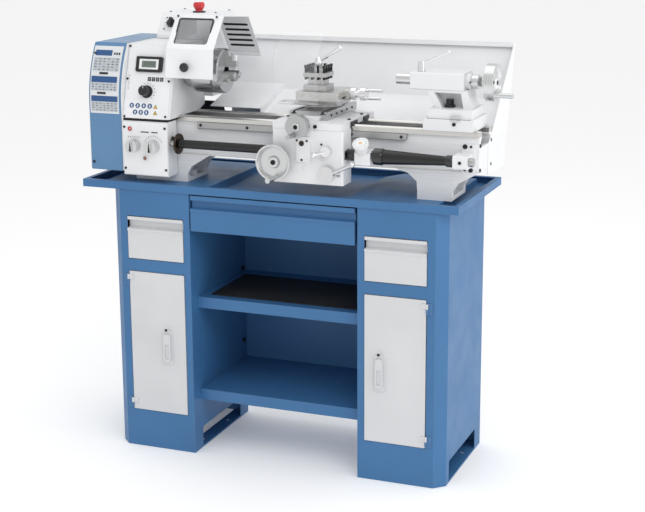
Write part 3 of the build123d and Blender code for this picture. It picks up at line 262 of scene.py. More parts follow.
def painted(name, colour, rough=0.38, coat=0.2, grain=650, bump=0.10, edge_highlight=0.25, sheen=0.5):
    """Powder coat or stoved paint: faint mottling, orange-peel bump, a painted highlight along its edges.
    """
    f = Finish(name)
    f.set(Coat_Weight=coat, Coat_Roughness=0.16, Specular_IOR_Level=sheen)
    mottle = f.noise(5.0, 3.0)
    peel = f.noise(grain, 2.0)
    normal, edge = f.rounded_edges(0.0016)
    body = f.shade(mottle, colour, 0.955, 1.045)
    # painted highlight: the colour is lightened towards the edges
    f.edge_highlight(edge, edge_highlight, body, tuple(c + (1 - c) * 0.35 for c in colour))
    f.roughen(f.noise(14.0, 4.0), rough - 0.05, rough + 0.07)
    f.bump(peel, bump, 0.0004, normal)
    return f.material


def cast_paint(name, colour, rough=0.42):
    """Filled and painted casting: a soft low wave under a fine grain."""
    f = Finish(name)
    f.set(Coat_Weight=0.25, Coat_Roughness=0.2)
    wave = f.noise(38.0, 3.0)
    grain = f.noise(420.0, 3.0)
    normal, edge = f.rounded_edges(0.0022)
    # painted highlight: the colour is lightened towards the edges
    f.edge_highlight(edge, 0.4, f.shade(f.noise(3.5, 4.0), colour, 0.96, 1.03), (0.95, 0.95, 0.95))
    f.roughen(grain, rough - 0.06, rough + 0.08)
    height = f.math("ADD", f.math("MULTIPLY", wave, 3.0), grain)
    f.bump(height, 0.10, 0.0004, normal)
    return f.material


def ground_steel(name, colour=(0.56, 0.56, 0.555), rough=0.3, stretch=(14, 900, 900)):
    """Ground or milled steel with a painted highlight at its edges, and its lay along the axis of the small
    stretch.
    """
    f = Finish(name)
    f.set(Metallic=1.0)
    lay = f.noise(1.0, 4.0, stretch)
    broad = f.noise(9.0, 3.0)
    both = f.math("ADD", f.math("MULTIPLY", lay, 0.65), f.math("MULTIPLY", broad, 0.35))
    normal, edge = f.rounded_edges(0.0008)
    # painted highlight: the colour is lightened towards the edges
    f.edge_highlight(edge, 0.5, f.shade(both, colour, 0.9, 1.1), (0.85, 0.85, 0.86))
    f.roughen(lay, rough - 0.08, rough + 0.1, 0.25, 0.75)
    f.bump(lay, 0.12, 0.0002, normal)
    return f.material


def turned_metal(name, centre, axis, colour, rough=0.25, rings=1500):
    """Metal turned on a lathe: fine rings about an axis through a point."""
    f = Finish(name)
    f.set(Metallic=1.0)
    shift = f.tree.nodes.new("ShaderNodeVectorMath")
    shift.operation = "SUBTRACT"
    f.link(f.coords, shift.inputs[0])
    shift.inputs[1].default_value = at(*centre)
    flat = f.tree.nodes.new("ShaderNodeVectorMath")
    flat.operation = "MULTIPLY"
    f.link(shift.outputs["Vector"], flat.inputs[0])
    flat.inputs[1].default_value = tuple(0.0 if letter == axis else 1.0 for letter in "XYZ")
    length = f.tree.nodes.new("ShaderNodeVectorMath")
    length.operation = "LENGTH"
    f.link(flat.outputs["Vector"], length.inputs[0])
    along = f.math("MULTIPLY", f.axis(axis), 0.6)
    place = f.math("ADD", length.outputs["Value"], along)
    ring = f.tree.nodes.new("ShaderNodeTexNoise")
    ring.noise_dimensions = "1D"
    ring.inputs["Scale"].default_value = rings
    ring.inputs["Detail"].default_value = 2.0
    f.link(place, ring.inputs["W"])
    lay = ring.outputs["Fac"]
    normal, edge = f.rounded_edges(0.0008)
    # painted highlight: the colour is lightened towards the edges
    f.edge_highlight(edge, 0.4, f.shade(lay, colour, 0.92, 1.06), (0.9, 0.9, 0.9))
    f.roughen(lay, rough - 0.07, rough + 0.1, 0.25, 0.75)
    f.bump(lay, 0.12, 0.00015, normal)
    return f.material


def dark_metal(name, colour=(0.028, 0.029, 0.032), rough=0.36, metallic=0.6):
    """Blackened steel with a dull oily sheen."""
    f = Finish(name)
    f.set(Metallic=metallic)
    patch = f.noise(60.0, 4.0)
    fine = f.noise(900.0, 2.0)
    normal, edge = f.rounded_edges(0.0007)
    # painted highlight: the colour is lightened towards the edges
    f.edge_highlight(edge, 0.35, f.shade(patch, colour, 0.7, 1.5), (0.22, 0.22, 0.23))
    f.roughen(patch, rough - 0.08, rough + 0.1)
    f.bump(fine, 0.08, 0.0002, normal)
    return f.material


def rubber(name, ribbed=False):
    """Black rubber, with fine ribs along the mat if asked."""
    f = Finish(name)
    dust = f.noise(12.0, 5.0)
    share = f.remap(dust, 0.35, 0.75, 0, 1)
    f.feed("Base Color", f.mix(share, (0.008, 0.008, 0.008), (0.019, 0.018, 0.017)))
    f.roughen(dust, 0.62, 0.8)
    height = f.noise(700.0, 3.0)
    if ribbed:
        ribs = f.math("SINE", f.math("MULTIPLY", f.axis("Y"), 2100.0))
        height = f.math("ADD", ribs, f.math("MULTIPLY", height, 0.6))
    f.bump(height, 0.35, 0.0006)
    return f.material


def plastic(name, colour, rough=0.4, grain=1100.0, bump=0.12, coat=0.0):
    """Moulded plastic with a spark-eroded grain."""
    f = Finish(name)
    f.set(Coat_Weight=coat, Coat_Roughness=0.08)
    fine = f.noise(grain, 3.0)
    broad = f.noise(25.0, 3.0)
    normal, edge = f.rounded_edges(0.0008)
    body = f.shade(broad, colour, 0.93, 1.07)
    # painted highlight: the colour is lightened towards the edges
    f.edge_highlight(edge, 0.3, body, tuple(c + (1 - c) * 0.25 for c in colour))
    f.roughen(fine, rough - 0.05, rough + 0.08)
    f.bump(fine, bump, 0.0002, normal)
    return f.material


def printed(name, colour, rough=0.5):
    """Screen print or a printed film: even colour with a faint dot grain."""
    f = Finish(name)
    dots = f.noise(1800.0, 1.0)
    share = f.remap(dots, 0.35, 0.65, 0, 1)
    f.feed("Base Color", f.mix(share, scaled(colour, 0.94), scaled(colour, 1.05)))
    f.roughen(dots, rough - 0.04, rough + 0.05)
    return f.material


def clear_sheet(name, colour, alpha, rough=0.06):
    """Thin clear plastic, lightly scuffed, with a painted edge glint: more opaque near its edges."""
    f = Finish(name)
    f.set(Base_Color=(*colour, 1), IOR=1.49)
    scuff = f.noise(45.0, 5.0)
    f.roughen(scuff, rough, rough + 0.12, 0.35, 0.75)
    # painted highlight: the sheet is made more opaque towards its edges, standing in for light caught there
    _, edge = f.rounded_edges(0.0015)
    f.feed("Alpha", f.math("ADD", f.math("MULTIPLY", edge, 0.35), alpha, True))
    return f.material


def two_finishes(name, mask, first, second):
    """A material that goes from first to second where mask(f) is 1; each is (colour, metallic, rough)."""
    f = Finish(name)
    share = mask(f)
    fine = f.noise(1.0, 4.0, (14, 900, 900))
    normal, edge = f.rounded_edges(0.0014)
    shades = [f.shade(fine, colour, 0.93, 1.06) for colour, _, _ in (first, second)]
    # painted highlight: the colour is lightened towards the edges
    f.edge_highlight(edge, 0.35, f.mix(share, *shades), (0.9, 0.9, 0.9))
    f.feed("Metallic", f.remap(share, 0, 1, first[1], second[1]))
    spread = f.remap(fine, 0.3, 0.7, -0.05, 0.07)
    f.feed("Roughness", f.math("ADD", f.remap(share, 0, 1, first[2], second[2]), spread))
    f.bump(fine, 0.1, 0.0002, normal)
    return f.material


def above(z):
    """1 where the surface is higher than z."""
    return lambda f: f.math("GREATER_THAN", f.axis("Z"), z / 1000)


def right_of(x):
    return lambda f: f.math("GREATER_THAN", f.axis("X"), at(x, 0, 0).x)


def left_of(x):
    return lambda f: f.math("LESS_THAN", f.axis("X"), at(x, 0, 0).x)


def ahead_of(y):
    return lambda f: f.math("LESS_THAN", f.axis("Y"), at(0, y, 0).y)


PLATE_TOP, PLATE_UNDERSIDE, SCREW_TIPS, CORE_HALF = 1.1213, 1.1098, 1.0885, 0.0225


def tool_post_screws(f):
    """1 on the tool post's clamping screws: over the top plate, and under it outside the core."""
    top = f.math("GREATER_THAN", f.axis("Z"), PLATE_TOP)
    below = f.math("LESS_THAN", f.axis("Z"), PLATE_UNDERSIDE)
    over = f.math("GREATER_THAN", f.axis("Z"), SCREW_TIPS)
    centre = at(*TOOL_POST, 0)
    away_x = f.math("ABSOLUTE", f.math("SUBTRACT", f.axis("X"), centre.x))
    away_y = f.math("ABSOLUTE", f.math("SUBTRACT", f.axis("Y"), centre.y))
    outside = f.math("GREATER_THAN", f.math("MAXIMUM", away_x, away_y), CORE_HALF)
    between = f.math("MULTIPLY", f.math("MULTIPLY", below, over), outside)
    return f.math("MAXIMUM", top, between)


# ---------------- finishes
STAND_BLUE = (0.050, 0.160, 0.345)
COVER_BLUE = (0.095, 0.225, 0.405)
CASTING = (0.76, 0.77, 0.785)
STEEL = (0.46, 0.46, 0.455)
BLACK = (0.012, 0.012, 0.014)


def paint_cad_nodes():
    stand = painted("stand_blue_coat", STAND_BLUE, 0.44, 0.0, sheen=0.36)
    black_steel = (BLACK, 0.5, 0.4)
    blue_coat = (STAND_BLUE, 0.0, 0.44)
    post_steel = ((0.52, 0.52, 0.52), 1.0, 0.3)
    screws = ((0.02, 0.02, 0.022), 0.6, 0.35)
    ways = ((0.62, 0.61, 0.59), 1.0, 0.24)
    finishes = {
        stand: ("left_pedestal", "right_pedestal", "chip_tray", "stand_shelves", "centre_drawer"),
        painted("drawer_grey_coat", (0.62, 0.63, 0.645), rough=0.42): (
            *("left_door", "right_door", "left_latch"),
            *("right_latch", "left_drawer", "right_drawer"),
        ),
        cast_paint("casting_paint", CASTING): (
            *("headstock_casting", "feed_gearbox", "saddle"),
            *("apron", "tailstock_casting", "threading_dial"),
        ),
        painted("sheet_white_coat", (0.80, 0.81, 0.825), rough=0.36): (
            *("front_panels", "electrical_cabinet", "splash_guard", "chuck_guard"),
        ),
        ground_steel("milled_steel"): (
            *("idler_gear_1", "idler_gear_2", "feed_input_gear"),
            *("chuck_jaw_1", "chuck_jaw_2", "chuck_jaw_3"),
        ),
        plastic("black_plastic", (0.014, 0.014, 0.016)): ("power_switch", "speed_knob"),
    }
    single = {
        "tailstock_clamp": dark_metal("black_oxide_steel"),
        "stand_fittings": two_finishes("stand_fittings_finish", ahead_of(-213), black_steel, blue_coat),
        "compound_base": two_finishes(
            "compound_steel", left_of(65.6), ((0.46, 0.46, 0.46), 1.0, 0.34), (CASTING, 0.0, 0.4)
        ),
        "bed": two_finishes("bed_paint_and_ways", above(972.5), (CASTING, 0.0, 0.45), ways),
        "bed_fittings": two_finishes(
            "rack_steel_and_bracket", right_of(450), ((0.42, 0.42, 0.42), 1.0, 0.38), (CASTING, 0.0, 0.42)
        ),
        "tool_post": two_finishes("tool_post_steel", tool_post_screws, post_steel, screws),
        "shelf_mat": rubber("ribbed_rubber_mat", True),
        "drive_belt": rubber("belt_rubber"),
        "drive_motor": dark_metal("motor_enamel", (0.03, 0.032, 0.036), 0.45, 0.2),
        "end_cover": painted("cover_blue_coat", COVER_BLUE),
        "cross_slide": ground_steel("cross_slide_steel", (0.50, 0.50, 0.50), 0.32, (900, 14, 900)),
        "top_slide": ground_steel("top_slide_steel", (0.60, 0.595, 0.58), 0.28, (14, 900, 900)),
        "stop_button": plastic("stop_button_red", (0.60, 0.012, 0.018), 0.25, coat=0.5),
        "tool_shield": clear_sheet("shield_polycarbonate", (0.86, 0.88, 0.90), 0.055),
    }
    hub = (-200, *SPINDLE)
    aluminium = (0.66, 0.665, 0.67)
    bright = (0.84, 0.84, 0.85)
    direction, feed = ((x, -220, KNOB_HEIGHT) for x in KNOBS.values())
    carriage_wheel, cross_wheel = ((x, -240, z) for x, z in (CARRIAGE_WHEEL, CROSS_WHEEL))
    lathe_turned = {
        "spindle": ("spindle_steel", hub, "X", STEEL, 0.28),
        "chuck_body": ("chuck_steel", hub, "X", (0.46, 0.47, 0.48), 0.22),
        "quill": ("quill_steel", hub, "X", (0.68, 0.68, 0.685), 0.16),
        "motor_pulley": ("motor_pulley_steel", (-490, 75, 945), "X", STEEL, 0.3),
        "leadscrew": ("leadscrew_steel", (0, *SCREW_AXIS), "X", STEEL, 0.28),
        "top_slide_crank": ("crank_chrome", (220, -62, 1063), "X", (0.80, 0.80, 0.81), 0.14),
        "half_nut_lever": ("half_nut_chrome", (197, -230, 866), "Y", (0.70, 0.70, 0.71), 0.24),
        "feed_lever": ("lever_chrome", (195, -230, 927), "Y", (0.82, 0.82, 0.83), 0.12),
        "tool_post_lever": ("post_lever_chrome", (*TOOL_POST, 1140), "Z", bright, 0.12),
        "quill_lock_lever": ("lock_lever_chrome", (421, -98, 1150), "Z", bright, 0.12),
        "carriage_handwheel": ("carriage_wheel_aluminium", carriage_wheel, "Y", aluminium, 0.24, 900),
        "cross_slide_wheel": ("cross_wheel_aluminium", cross_wheel, "Y", (0.50, 0.505, 0.51), 0.3, 900),
        "tailstock_wheel": ("tail_wheel_aluminium", (612, *SPINDLE), "X", aluminium, 0.24, 900),
        "direction_knob": ("direction_knob_aluminium", direction, "Y", aluminium, 0.24),
        "feed_knob": ("feed_knob_aluminium", feed, "Y", aluminium, 0.24),
    }
    single |= {node: turned_metal(*look) for node, look in lathe_turned.items()}
    finishes |= {material: (node,) for node, material in single.items()}
    for material, names in finishes.items():
        for name in names:
            slots = NODES[name].data.materials
            if not len(slots):
                slots.append(material)
            for index in range(len(slots)):
                slots[index] = material
    painted_nodes = {name for names in finishes.values() for name in names}
    missed = [name for name in NODES if name not in painted_nodes and "leadscrew_cover" not in name]
    assert not missed, missed


# ---------------- mesh building
class Plane:
    """A flat place on the machine: an origin, a direction across, and the way it faces."""

    def __init__(self, origin, across, facing):
        self.origin = Vector(origin)
        self.across = Vector(across).normalized()
        self.facing = Vector(facing).normalized()
        self.up = self.facing.cross(self.across)

    def point(self, u, v, lift=0.0):
        return self.origin + self.across * u + self.up * v + self.facing * lift


def front(x, y, z):
    """An upright plane that faces the operator."""
    return Plane((x, y, z), RIGHT, OUT)


PANEL_LEAN = (55.2, 204)


def fascia(x, z):
    """The plane of the leaning control panel at a place on it."""
    y = -200.5 + (z - 983) / PANEL_LEAN[1] * PANEL_LEAN[0]
    return Plane((x, y, z), RIGHT, (0, -PANEL_LEAN[1], PANEL_LEAN[0]))


def rounded(wide, tall, corner):
    """Outline of a rectangle with rounded corners, about its middle."""
    points = []
    for quarter, (side, end) in enumerate(((1, 1), (-1, 1), (-1, -1), (1, -1))):
        for step in range(5):
            angle = radians(90 * quarter + 22.5 * step)
            u = side * (wide / 2 - corner) + corner * cos(angle)
            points.append((u, end * (tall / 2 - corner) + corner * sin(angle)))
    return points


def spoke(radius, angle, long, wide):
    """Outline of a bar on a circle round the plane's origin, pointing at the middle."""
    u, v = radius * cos(angle), radius * sin(angle)
    corners = ((-long, -wide), (long, -wide), (long, wide), (-long, wide))
    return [(u + s * cos(angle) - t * sin(angle), v + s * sin(angle) + t * cos(angle)) for s, t in corners]


def triangle(radius, drop):
    angles = [radians(90 + k * 120) for k in range(3)]
    return [(radius * cos(angle), radius * sin(angle) - drop) for angle in angles]


class Piece:
    """A mesh built up from bevelled blocks, turned shapes, prisms and sheets."""

    def __init__(self, name, body, material, slot=None):
        self.name, self.body, self.material, self.slot = name, body, material, slot
        self.bm = bmesh.new()

    def soften(self, faces, bevel):
        edges = {e for f in faces for e in f.edges if e.calc_face_angle(0) > 0.6}
        if bevel > 0 and edges:
            bmesh.ops.bevel(
                self.bm, geom=list(edges), offset=bevel, segments=2, profile=0.6, affect="EDGES"
            )

    def hull(self, lower, upper, bevel=0.0):
        """A solid between two outlines that have the same number of points."""
        a = [self.bm.verts.new(p) for p in lower]
        b = [self.bm.verts.new(p) for p in upper]
        faces = [self.bm.faces.new(a[::-1]), self.bm.faces.new(b)]
        for i in range(len(a)):
            j = (i + 1) % len(a)
            faces.append(self.bm.faces.new((a[i], a[j], b[j], b[i])))
        self.bm.normal_update()
        self.soften(faces, bevel)

    def box(self, x0, x1, y0, y1, z0, z1, bevel=0.5):
        ring = ((x0, y0), (x1, y0), (x1, y1), (x0, y1))
        self.hull([(x, y, z0) for x, y in ring], [(x, y, z1) for x, y in ring], bevel)

    def prism(self, plane, outline, low, high, bevel=0.0):
        lower, upper = ([plane.point(u, v, lift) for u, v in outline] for lift in (low, high))
        self.hull(lower, upper, bevel)

    def tile(self, plane, u, v, wide, tall, low, high, bevel=0.0, corner=0.0):
        """A flat rectangle on a plane, with rounded corners if asked."""
        a, b = wide / 2, tall / 2
        outline = rounded(wide, tall, corner) if corner else [(-a, -b), (a, -b), (a, b), (-a, b)]
        self.prism(plane, [(u + p, v + q) for p, q in outline], low, high, bevel)

    def ring_tile(self, plane, wide, tall, hole_wide, hole_tall, low, high, corner, bevel):
        """A flat frame: an outer rounded rectangle with a rectangular hole."""
        def loop(w, t, r, lift):
            return [self.bm.verts.new(plane.point(u, v, lift)) for u, v in rounded(w, t, r)]

        inner = max(corner * 0.3, 0.8)
        loops = [
            loop(wide, tall, corner, low),
            loop(wide, tall, corner, high - bevel),
            loop(wide - 2 * bevel, tall - 2 * bevel, corner - bevel * 0.6, high),
            loop(hole_wide + 2 * bevel, hole_tall + 2 * bevel, inner + bevel, high),
            loop(hole_wide, hole_tall, inner, high - bevel),
            loop(hole_wide, hole_tall, inner, low),
        ]
        for first, second in zip(loops, loops[1:] + loops[:1]):
            for i in range(len(first)):
                j = (i + 1) % len(first)
                self.bm.faces.new((first[i], first[j], second[j], second[i]))

    def turned(self, origin, axis, profile, segments=40):
        """A solid of revolution; the profile is (distance along the axis, radius)."""
        w = Vector(axis).normalized()
        u = w.orthogonal().normalized()
        v = w.cross(u)
        origin = Vector(origin)
        rings = []
        for along, radius in profile:
            if radius < 1e-6:
                rings.append([self.bm.verts.new(origin + w * along)])
                continue
            ring = []
            for i in range(segments):
                angle = tau * i / segments
                out = (u * cos(angle) + v * sin(angle)) * radius
                ring.append(self.bm.verts.new(origin + w * along + out))
            rings.append(ring)
        for first, second in zip(rings, rings[1:]):
            for i in range(segments):
                j = (i + 1) % segments
                near = [first[k % len(first)] for k in (i, j)]
                far = [second[k % len(second)] for k in (j, i)]
                unique = list(dict.fromkeys(near + far))
                if len(unique) > 2:
                    self.bm.faces.new(unique)
        if profile[0] == profile[-1]:
            bmesh.ops.remove_doubles(self.bm, verts=rings[0] + rings[-1], dist=1e-5)

    def screw(self, origin, axis, radius, height):
        """A cap screw's head with its socket."""
        head = [(0, radius), (height * 0.8, radius), (height, radius * 0.86)]
        socket = [(height, radius * 0.52), (height * 0.35, radius * 0.48), (height * 0.35, 0)]
        self.turned(origin, axis, head + socket, 20)

    def sheet(self, rows):
        """A surface through rows of points."""
        grid = [[self.bm.verts.new(p) for p in row] for row in rows]
        for a, b in zip(grid, grid[1:]):
            for i in range(len(a) - 1):
                self.bm.faces.new((a[i], a[i + 1], b[i + 1], b[i]))

    def finish(self, angle=35, ride=True):
        for vert in self.bm.verts:
            vert.co = at(*vert.co)
        bmesh.ops.recalc_face_normals(self.bm, faces=self.bm.faces)
        mesh = bpy.data.meshes.new(self.name)
        self.bm.to_mesh(mesh)
        self.bm.free()
        mesh.polygons.foreach_set("use_smooth", [True] * len(mesh.polygons))
        mesh.set_sharp_from_angle(angle=radians(angle))
        mesh.materials.append(self.material)
        piece = bpy.data.objects.new(self.name, mesh)
        bpy.context.scene.collection.objects.link(piece)
        if ride:
            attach(piece, self.body)
        return piece


# ---------------- finishes for the small parts
def detail_finishes():
    return {
        "white": plastic("white_plastic", (0.78, 0.79, 0.80), 0.35),
        "black": plastic("black_fitting", BLACK, 0.38),
        "gloss": plastic("black_gloss", (0.010, 0.010, 0.011), 0.18, 600, 0.05, 0.4),
        "dark": dark_metal("dark_fastener", (0.016, 0.016, 0.018), 0.4, 0.5),
        # black used for painted shade in gaps, vents, slots and oil holes, and for the dark seam on the
        # tailstock
        "hole": rubber("dark_recess"),
        "bright": ground_steel("bright_fastener", (0.66, 0.66, 0.66), 0.25, (300, 300, 300)),
        "blue": printed("print_blue", (0.022, 0.085, 0.235)),
        "grey": printed("print_grey", (0.42, 0.46, 0.50)),
        "pale": printed("print_pale", (0.70, 0.72, 0.74)),
        "ink": printed("print_ink", (0.018, 0.020, 0.026)),
        "yellow": printed("print_yellow", (0.72, 0.47, 0.02)),
        "red": plastic("red_mark", (0.55, 0.015, 0.02), 0.3),
        "lcd": printed("display_glass", (0.16, 0.20, 0.17), 0.14),
        "brass": turned_metal("brass_boss", DIAL, "Z", (0.72, 0.50, 0.22), 0.3),
        "steel_ring": ground_steel("scale_ring_steel", (0.62, 0.62, 0.62), 0.28, (400, 400, 400)),
        "coil": plastic("spring_steel_black", (0.006, 0.006, 0.007), 0.34, 300, 0.08),
        "bronze": ground_steel("cover_washer_bronze", (0.05, 0.034, 0.022), 0.38, (200, 200, 200)),
        "pane": clear_sheet("guard_pane_smoke", (0.20, 0.21, 0.22), 0.42, 0.08),
        "white_paint": painted("white_paint_detail", (0.74, 0.75, 0.765), 0.42),
    }


# ---------------- headstock
def circle_through(a, b, c):
    """Centre and radius of the circle through three points of a plane."""
    d = 2 * (a[0] * (b[1] - c[1]) + b[0] * (c[1] - a[1]) + c[0] * (a[1] - b[1]))
    sa, sb, sc = (p[0] ** 2 + p[1] ** 2 for p in (a, b, c))
    u = (sa * (b[1] - c[1]) + sb * (c[1] - a[1]) + sc * (a[1] - b[1])) / d
    v = (sa * (c[0] - b[0]) + sb * (a[0] - c[0]) + sc * (b[0] - a[0])) / d
    return u, v, hypot(a[0] - u, a[1] - v)


COVER_FACE, COVER_BEND = -200, 1018
COVER_ARC = circle_through((COVER_FACE, COVER_BEND), (-187, 1110), (-152, 1190))


def cover_front(z):
    """How far forward the end cover's face is at a height: upright, then an arc back."""
    if z <= COVER_BEND:
        return COVER_FACE
    y, middle, radius = COVER_ARC
    return y - (radius**2 - (z - middle) ** 2) ** 0.5


def cover_patch(p, x0, x1, z0, z1, lift):
    """A printed patch that lies on the end cover's curved front."""
    steps = max(2, int((z1 - z0) / 4))
    rows = []
    for i in range(steps + 1):
        z = z0 + (z1 - z0) * i / steps
        rows.append([(x0, cover_front(z) - lift, z), (x1, cover_front(z) - lift, z)])
    p.sheet(rows)


def end_cover_prints(m):
    head = Piece("cover_chart_headings", "end_cover", m["blue"], "cover_blue")
    rule = Piece("cover_chart_cells", "end_cover", m["grey"], "cover_blue")
    ink = Piece("cover_chart_marks", "end_cover", m["ink"], "cover_blue")
    back = Piece("cover_chart_ground", "end_cover", m["pale"], "cover_blue")
    cover_patch(back, -540, -447, 992, 1180, 0.5)
    for x0, x1, z0, z1 in ((-533, -480, 1154, 1169), (-537, -454, 1080, 1097), (-536, -451, 1026, 1042)):
        cover_patch(head, x0, x1, z0, z1, 1.3)
    charts = ((-535, -452, 1149, 1112, 6), (-537, -454, 1078, 1057, 7), (-536, -451, 1024, 998, 7))
    for x0, x1, z_top, z_low, columns in charts:
        rows = max(2, round((z_top - z_low) / 7.2))
        wide = (x1 - x0) / columns
        tall = (z_top - z_low) / rows
        cover_patch(back, x0 - 0.8, x1 + 0.8, z_low - 0.8, z_top + 0.8, 1.0)
        for i in range(columns):
            for j in range(rows):
                left, low = x0 + i * wide, z_low + j * tall
                cover_patch(rule, left + 0.5, left + wide - 0.5, low + 0.5, low + tall - 0.5, 1.35)
                if (i * 5 + j * 3) % 4:
                    edges = (left + wide * 0.28, left + wide * 0.68, low + tall * 0.36, low + tall * 0.58)
                    cover_patch(ink, *edges, 1.6)
    for x, z in ((-499, 1105.6), (-503, 1050)):
        cover_patch(ink, x - 14, x + 14, z - 3, z + 3, 1.5)
    for i in range(3):
        cover_patch(ink, -474 + i * 7.5, -469 + i * 7.5, 1157, 1163, 1.5)
    for p in (back, head, rule, ink):
        p.finish()


def cover_fasteners(m):
    p = Piece("cover_screws", "end_cover", m["dark"], "black_oxide")
    for z in (850, 1160):
        p.screw((-535, cover_front(z) + 0.2, z), OUT, 4.0, 2.6)
    p.finish()


def fascia_prints(m):
    place = fascia(-364.5, 1132)
    frame_piece = Piece("display_frame", "frame", m["black"], "black_plastic")
    frame_piece.ring_tile(place, 83, 44, 60, 28, 0.1, 8.0, 4.0, 1.2)
    frame_piece.finish()
    bezel = Piece("display_bezel", "frame", m["white"], "casting_white")
    bezel.ring_tile(place, 61, 29, 47, 19, 6.9, 7.5, 1.5, 0.3)
    bezel.finish()
    glass = Piece("display_glass", "frame", m["lcd"], "black_plastic")
    glass.tile(place, 0, 0, 44.6, 19.6, 3.1, 7.1)
    glass.finish()
    segments = Piece("display_segments", "frame", m["ink"], "black_plastic")
    strokes = [(0, dv, 5.5, 1) for dv in (5, 0, -5)] + [(-3, 2.5, 1, 4), (3, 2.5, 1, 4), (3, -2.5, 1, 4)]
    for digit in range(4):
        u = -14 + digit * 9.5
        for du, dv, wide, tall in strokes:
            if digit == 0 and du < 0:
                continue
            segments.tile(place, u + du * 0.85, dv, wide, tall, 7.1, 7.2)
    segments.finish()

    ink = Piece("fascia_icons", "frame", m["ink"], "black_plastic")
    pale = Piece("fascia_icon_lines", "frame", m["pale"], "casting_white")
    for i in range(4):
        spot = fascia(-362 + i * 13, 1092)
        ink.tile(spot, 0, 0, 10.5, 11.5, 0.05, 0.5, 0, 1.2)
        pale.tile(spot, 0, 1.5, 5.5, 1.2, 0.5, 0.7)
        pale.tile(spot, 0, -2.2, 3.5, 1.2, 0.5, 0.7)
    for i in range(8):
        ink.tile(fascia(-427, 1063 + i * 5.3), 0, 0, 3.0 + 2.4 * (i % 2), 1.1, 0.05, 0.4)
    knob = fascia(*SPEED_KNOB)
    for i in range(13):
        ink.prism(knob, spoke(24.5, radians(225 - i * 22.5), 1.1 + 0.08 * i, 0.55), 0.05, 0.4)
    ink.finish()
    pale.finish()

    blue = Piece("fascia_notice_discs", "frame", m["blue"], "cover_blue")
    mark = Piece("fascia_notice_marks", "frame", m["pale"], "casting_white")
    for z, places in ((1018, (-410.7, -391.5, -372.2, -353)), (1000, (-398, -380, -362))):
        for x in places:
            spot = fascia(x, z)
            disc = [(0.05, 0), (0.05, 7.2), (0.45, 7.2), (0.45, 0)]
            blue.turned(spot.point(0, 0), spot.facing, disc, 28)
            dot = [(0.45, 0), (0.45, 2.5), (0.65, 2.5), (0.65, 0)]
            mark.turned(spot.point(0, 1.2), spot.facing, dot, 16)
            mark.tile(spot, 0, -2.8, 5.2, 2.4, 0.45, 0.65)
    blue.finish()
    mark.finish()
    warn = Piece("fascia_notice_triangles", "frame", m["yellow"], "cover_blue")
    edge = Piece("fascia_notice_triangle_edges", "frame", m["ink"], "black_plastic")
    for x, z in ((-335, 1017), (-334, 1000)):
        spot = fascia(x, z)
        edge.prism(spot, triangle(7.8, 1.5), 0.05, 0.3)
        warn.prism(spot, triangle(6.0, 1.5), 0.3, 0.5)
        edge.tile(spot, 0, -0.9, 1.1, 4.2, 0.5, 0.7)
    warn.finish()
    edge.finish()

    screws = Piece("fascia_screws", "frame", m["dark"], "black_oxide")
    for x, z in ((-432, 1181), (-431, 987), (-301, 991), (-300, 1088), (-432, 1091), (-300, 1181)):
        spot = fascia(x, z)
        screws.screw(spot.point(0, 0, 0.05), spot.facing, 3.3, 1.9)
    screws.finish()


def speed_knob_pointer(m):
    p = Piece("speed_knob_pointer", "speed_knob", m["pale"], "casting_white")
    spot = fascia(*SPEED_KNOB)
    p.tile(spot, 0, 9.2, 1.5, 6.0, 26.8, 27.4)
    p.finish()


def gearbox_fittings(m):
    """Oil plug, sight glass, scale marks, screws, and a black block of painted shade in the gap over the
    feed gearbox.
    """
    ink = Piece("gearbox_scale_marks", "frame", m["ink"], "black_plastic")
    y = GEARBOX_FACE
    for i in range(6):
        ink.tile(front(-419 + i * 7, y, 929), 0, 0, 1.2, 4.4, 0, 0.35)
    for i in range(9):
        angle = radians(150 - i * 15)
        spot = front(KNOBS["feed_knob"] + 30 * cos(angle), y, KNOB_HEIGHT + 30 * sin(angle))
        ink.tile(spot, 0, 0, 1.6, 3.0, 0, 0.35)
    for x, wide in ((-366, 26), (-335, 20)):
        ink.tile(front(x, y, 945), 0, 0, wide, 3.2, 0, 0.35)
    ink.finish()
    rim = Piece("gearbox_oil_glass_rims", "frame", m["white"], "casting_white")
    red = Piece("gearbox_oil_plug", "frame", m["red"], "red_plastic")
    for x, z, radius in ((-412, 953, 8.5), (-367, 870, 10)):
        rounded_rim = [(0, radius), (2.2, radius), (3.0, radius - 0.8)]
        dish = [(3.0, radius * 0.62), (1.2, radius * 0.58), (1.2, 0)]
        rim.turned((x, y, z), OUT, rounded_rim + dish)
    red.turned((-412, y - 1.2, 953), OUT, [(0, 6.6), (2.4, 6.6), (2.8, 6.0), (2.8, 3.4), (0, 3.2)])
    red.turned((-367, y - 1.2, 870), OUT, [(0, 2.6), (0.5, 2.4), (0.6, 0)], 20)
    rim.finish()
    red.finish()
    glass = Piece("gearbox_sight_glass", "frame", m["lcd"], "clear_plastic")
    glass.turned((-367, y - 1.0, 870), OUT, [(0, 6.0), (0.5, 6.0), (0.5, 2.8), (0.4, 2.7)], 28)
    glass.finish()
    screws = Piece("gearbox_screws", "frame", m["dark"], "black_oxide")
    for x, z in ((-431, 957), (-302, 958), (-431, 838), (-301, 839)):
        screws.screw((x, y, z), OUT, 3.6, 2.2)
    screws.turned((-293.9, -173, 924), RIGHT, [(0, 9), (4, 9), (5, 8), (5, 4), (2, 3.8), (2, 0)], 6)
    screws.finish()
    # painted shade: a black block fills the gap between the gearbox top and the headstock
    gap = Piece("gearbox_gap_shade", "frame", m["hole"], "black_rubber")
    gap.box(-435, -296, -196, -150, 975.2, 982.6, 0.4)
    gap.finish()
    for name, x in KNOBS.items():
        p = Piece(name + "_pointer", name, m["dark"], "black_plastic")
        spot = front(x, -232.05, KNOB_HEIGHT)
        p.prism(spot, [(-3.6, -13.0), (3.6, -13.0), (0.5, 13.6), (-0.5, 13.6)], 0, 0.5)
        p.finish()


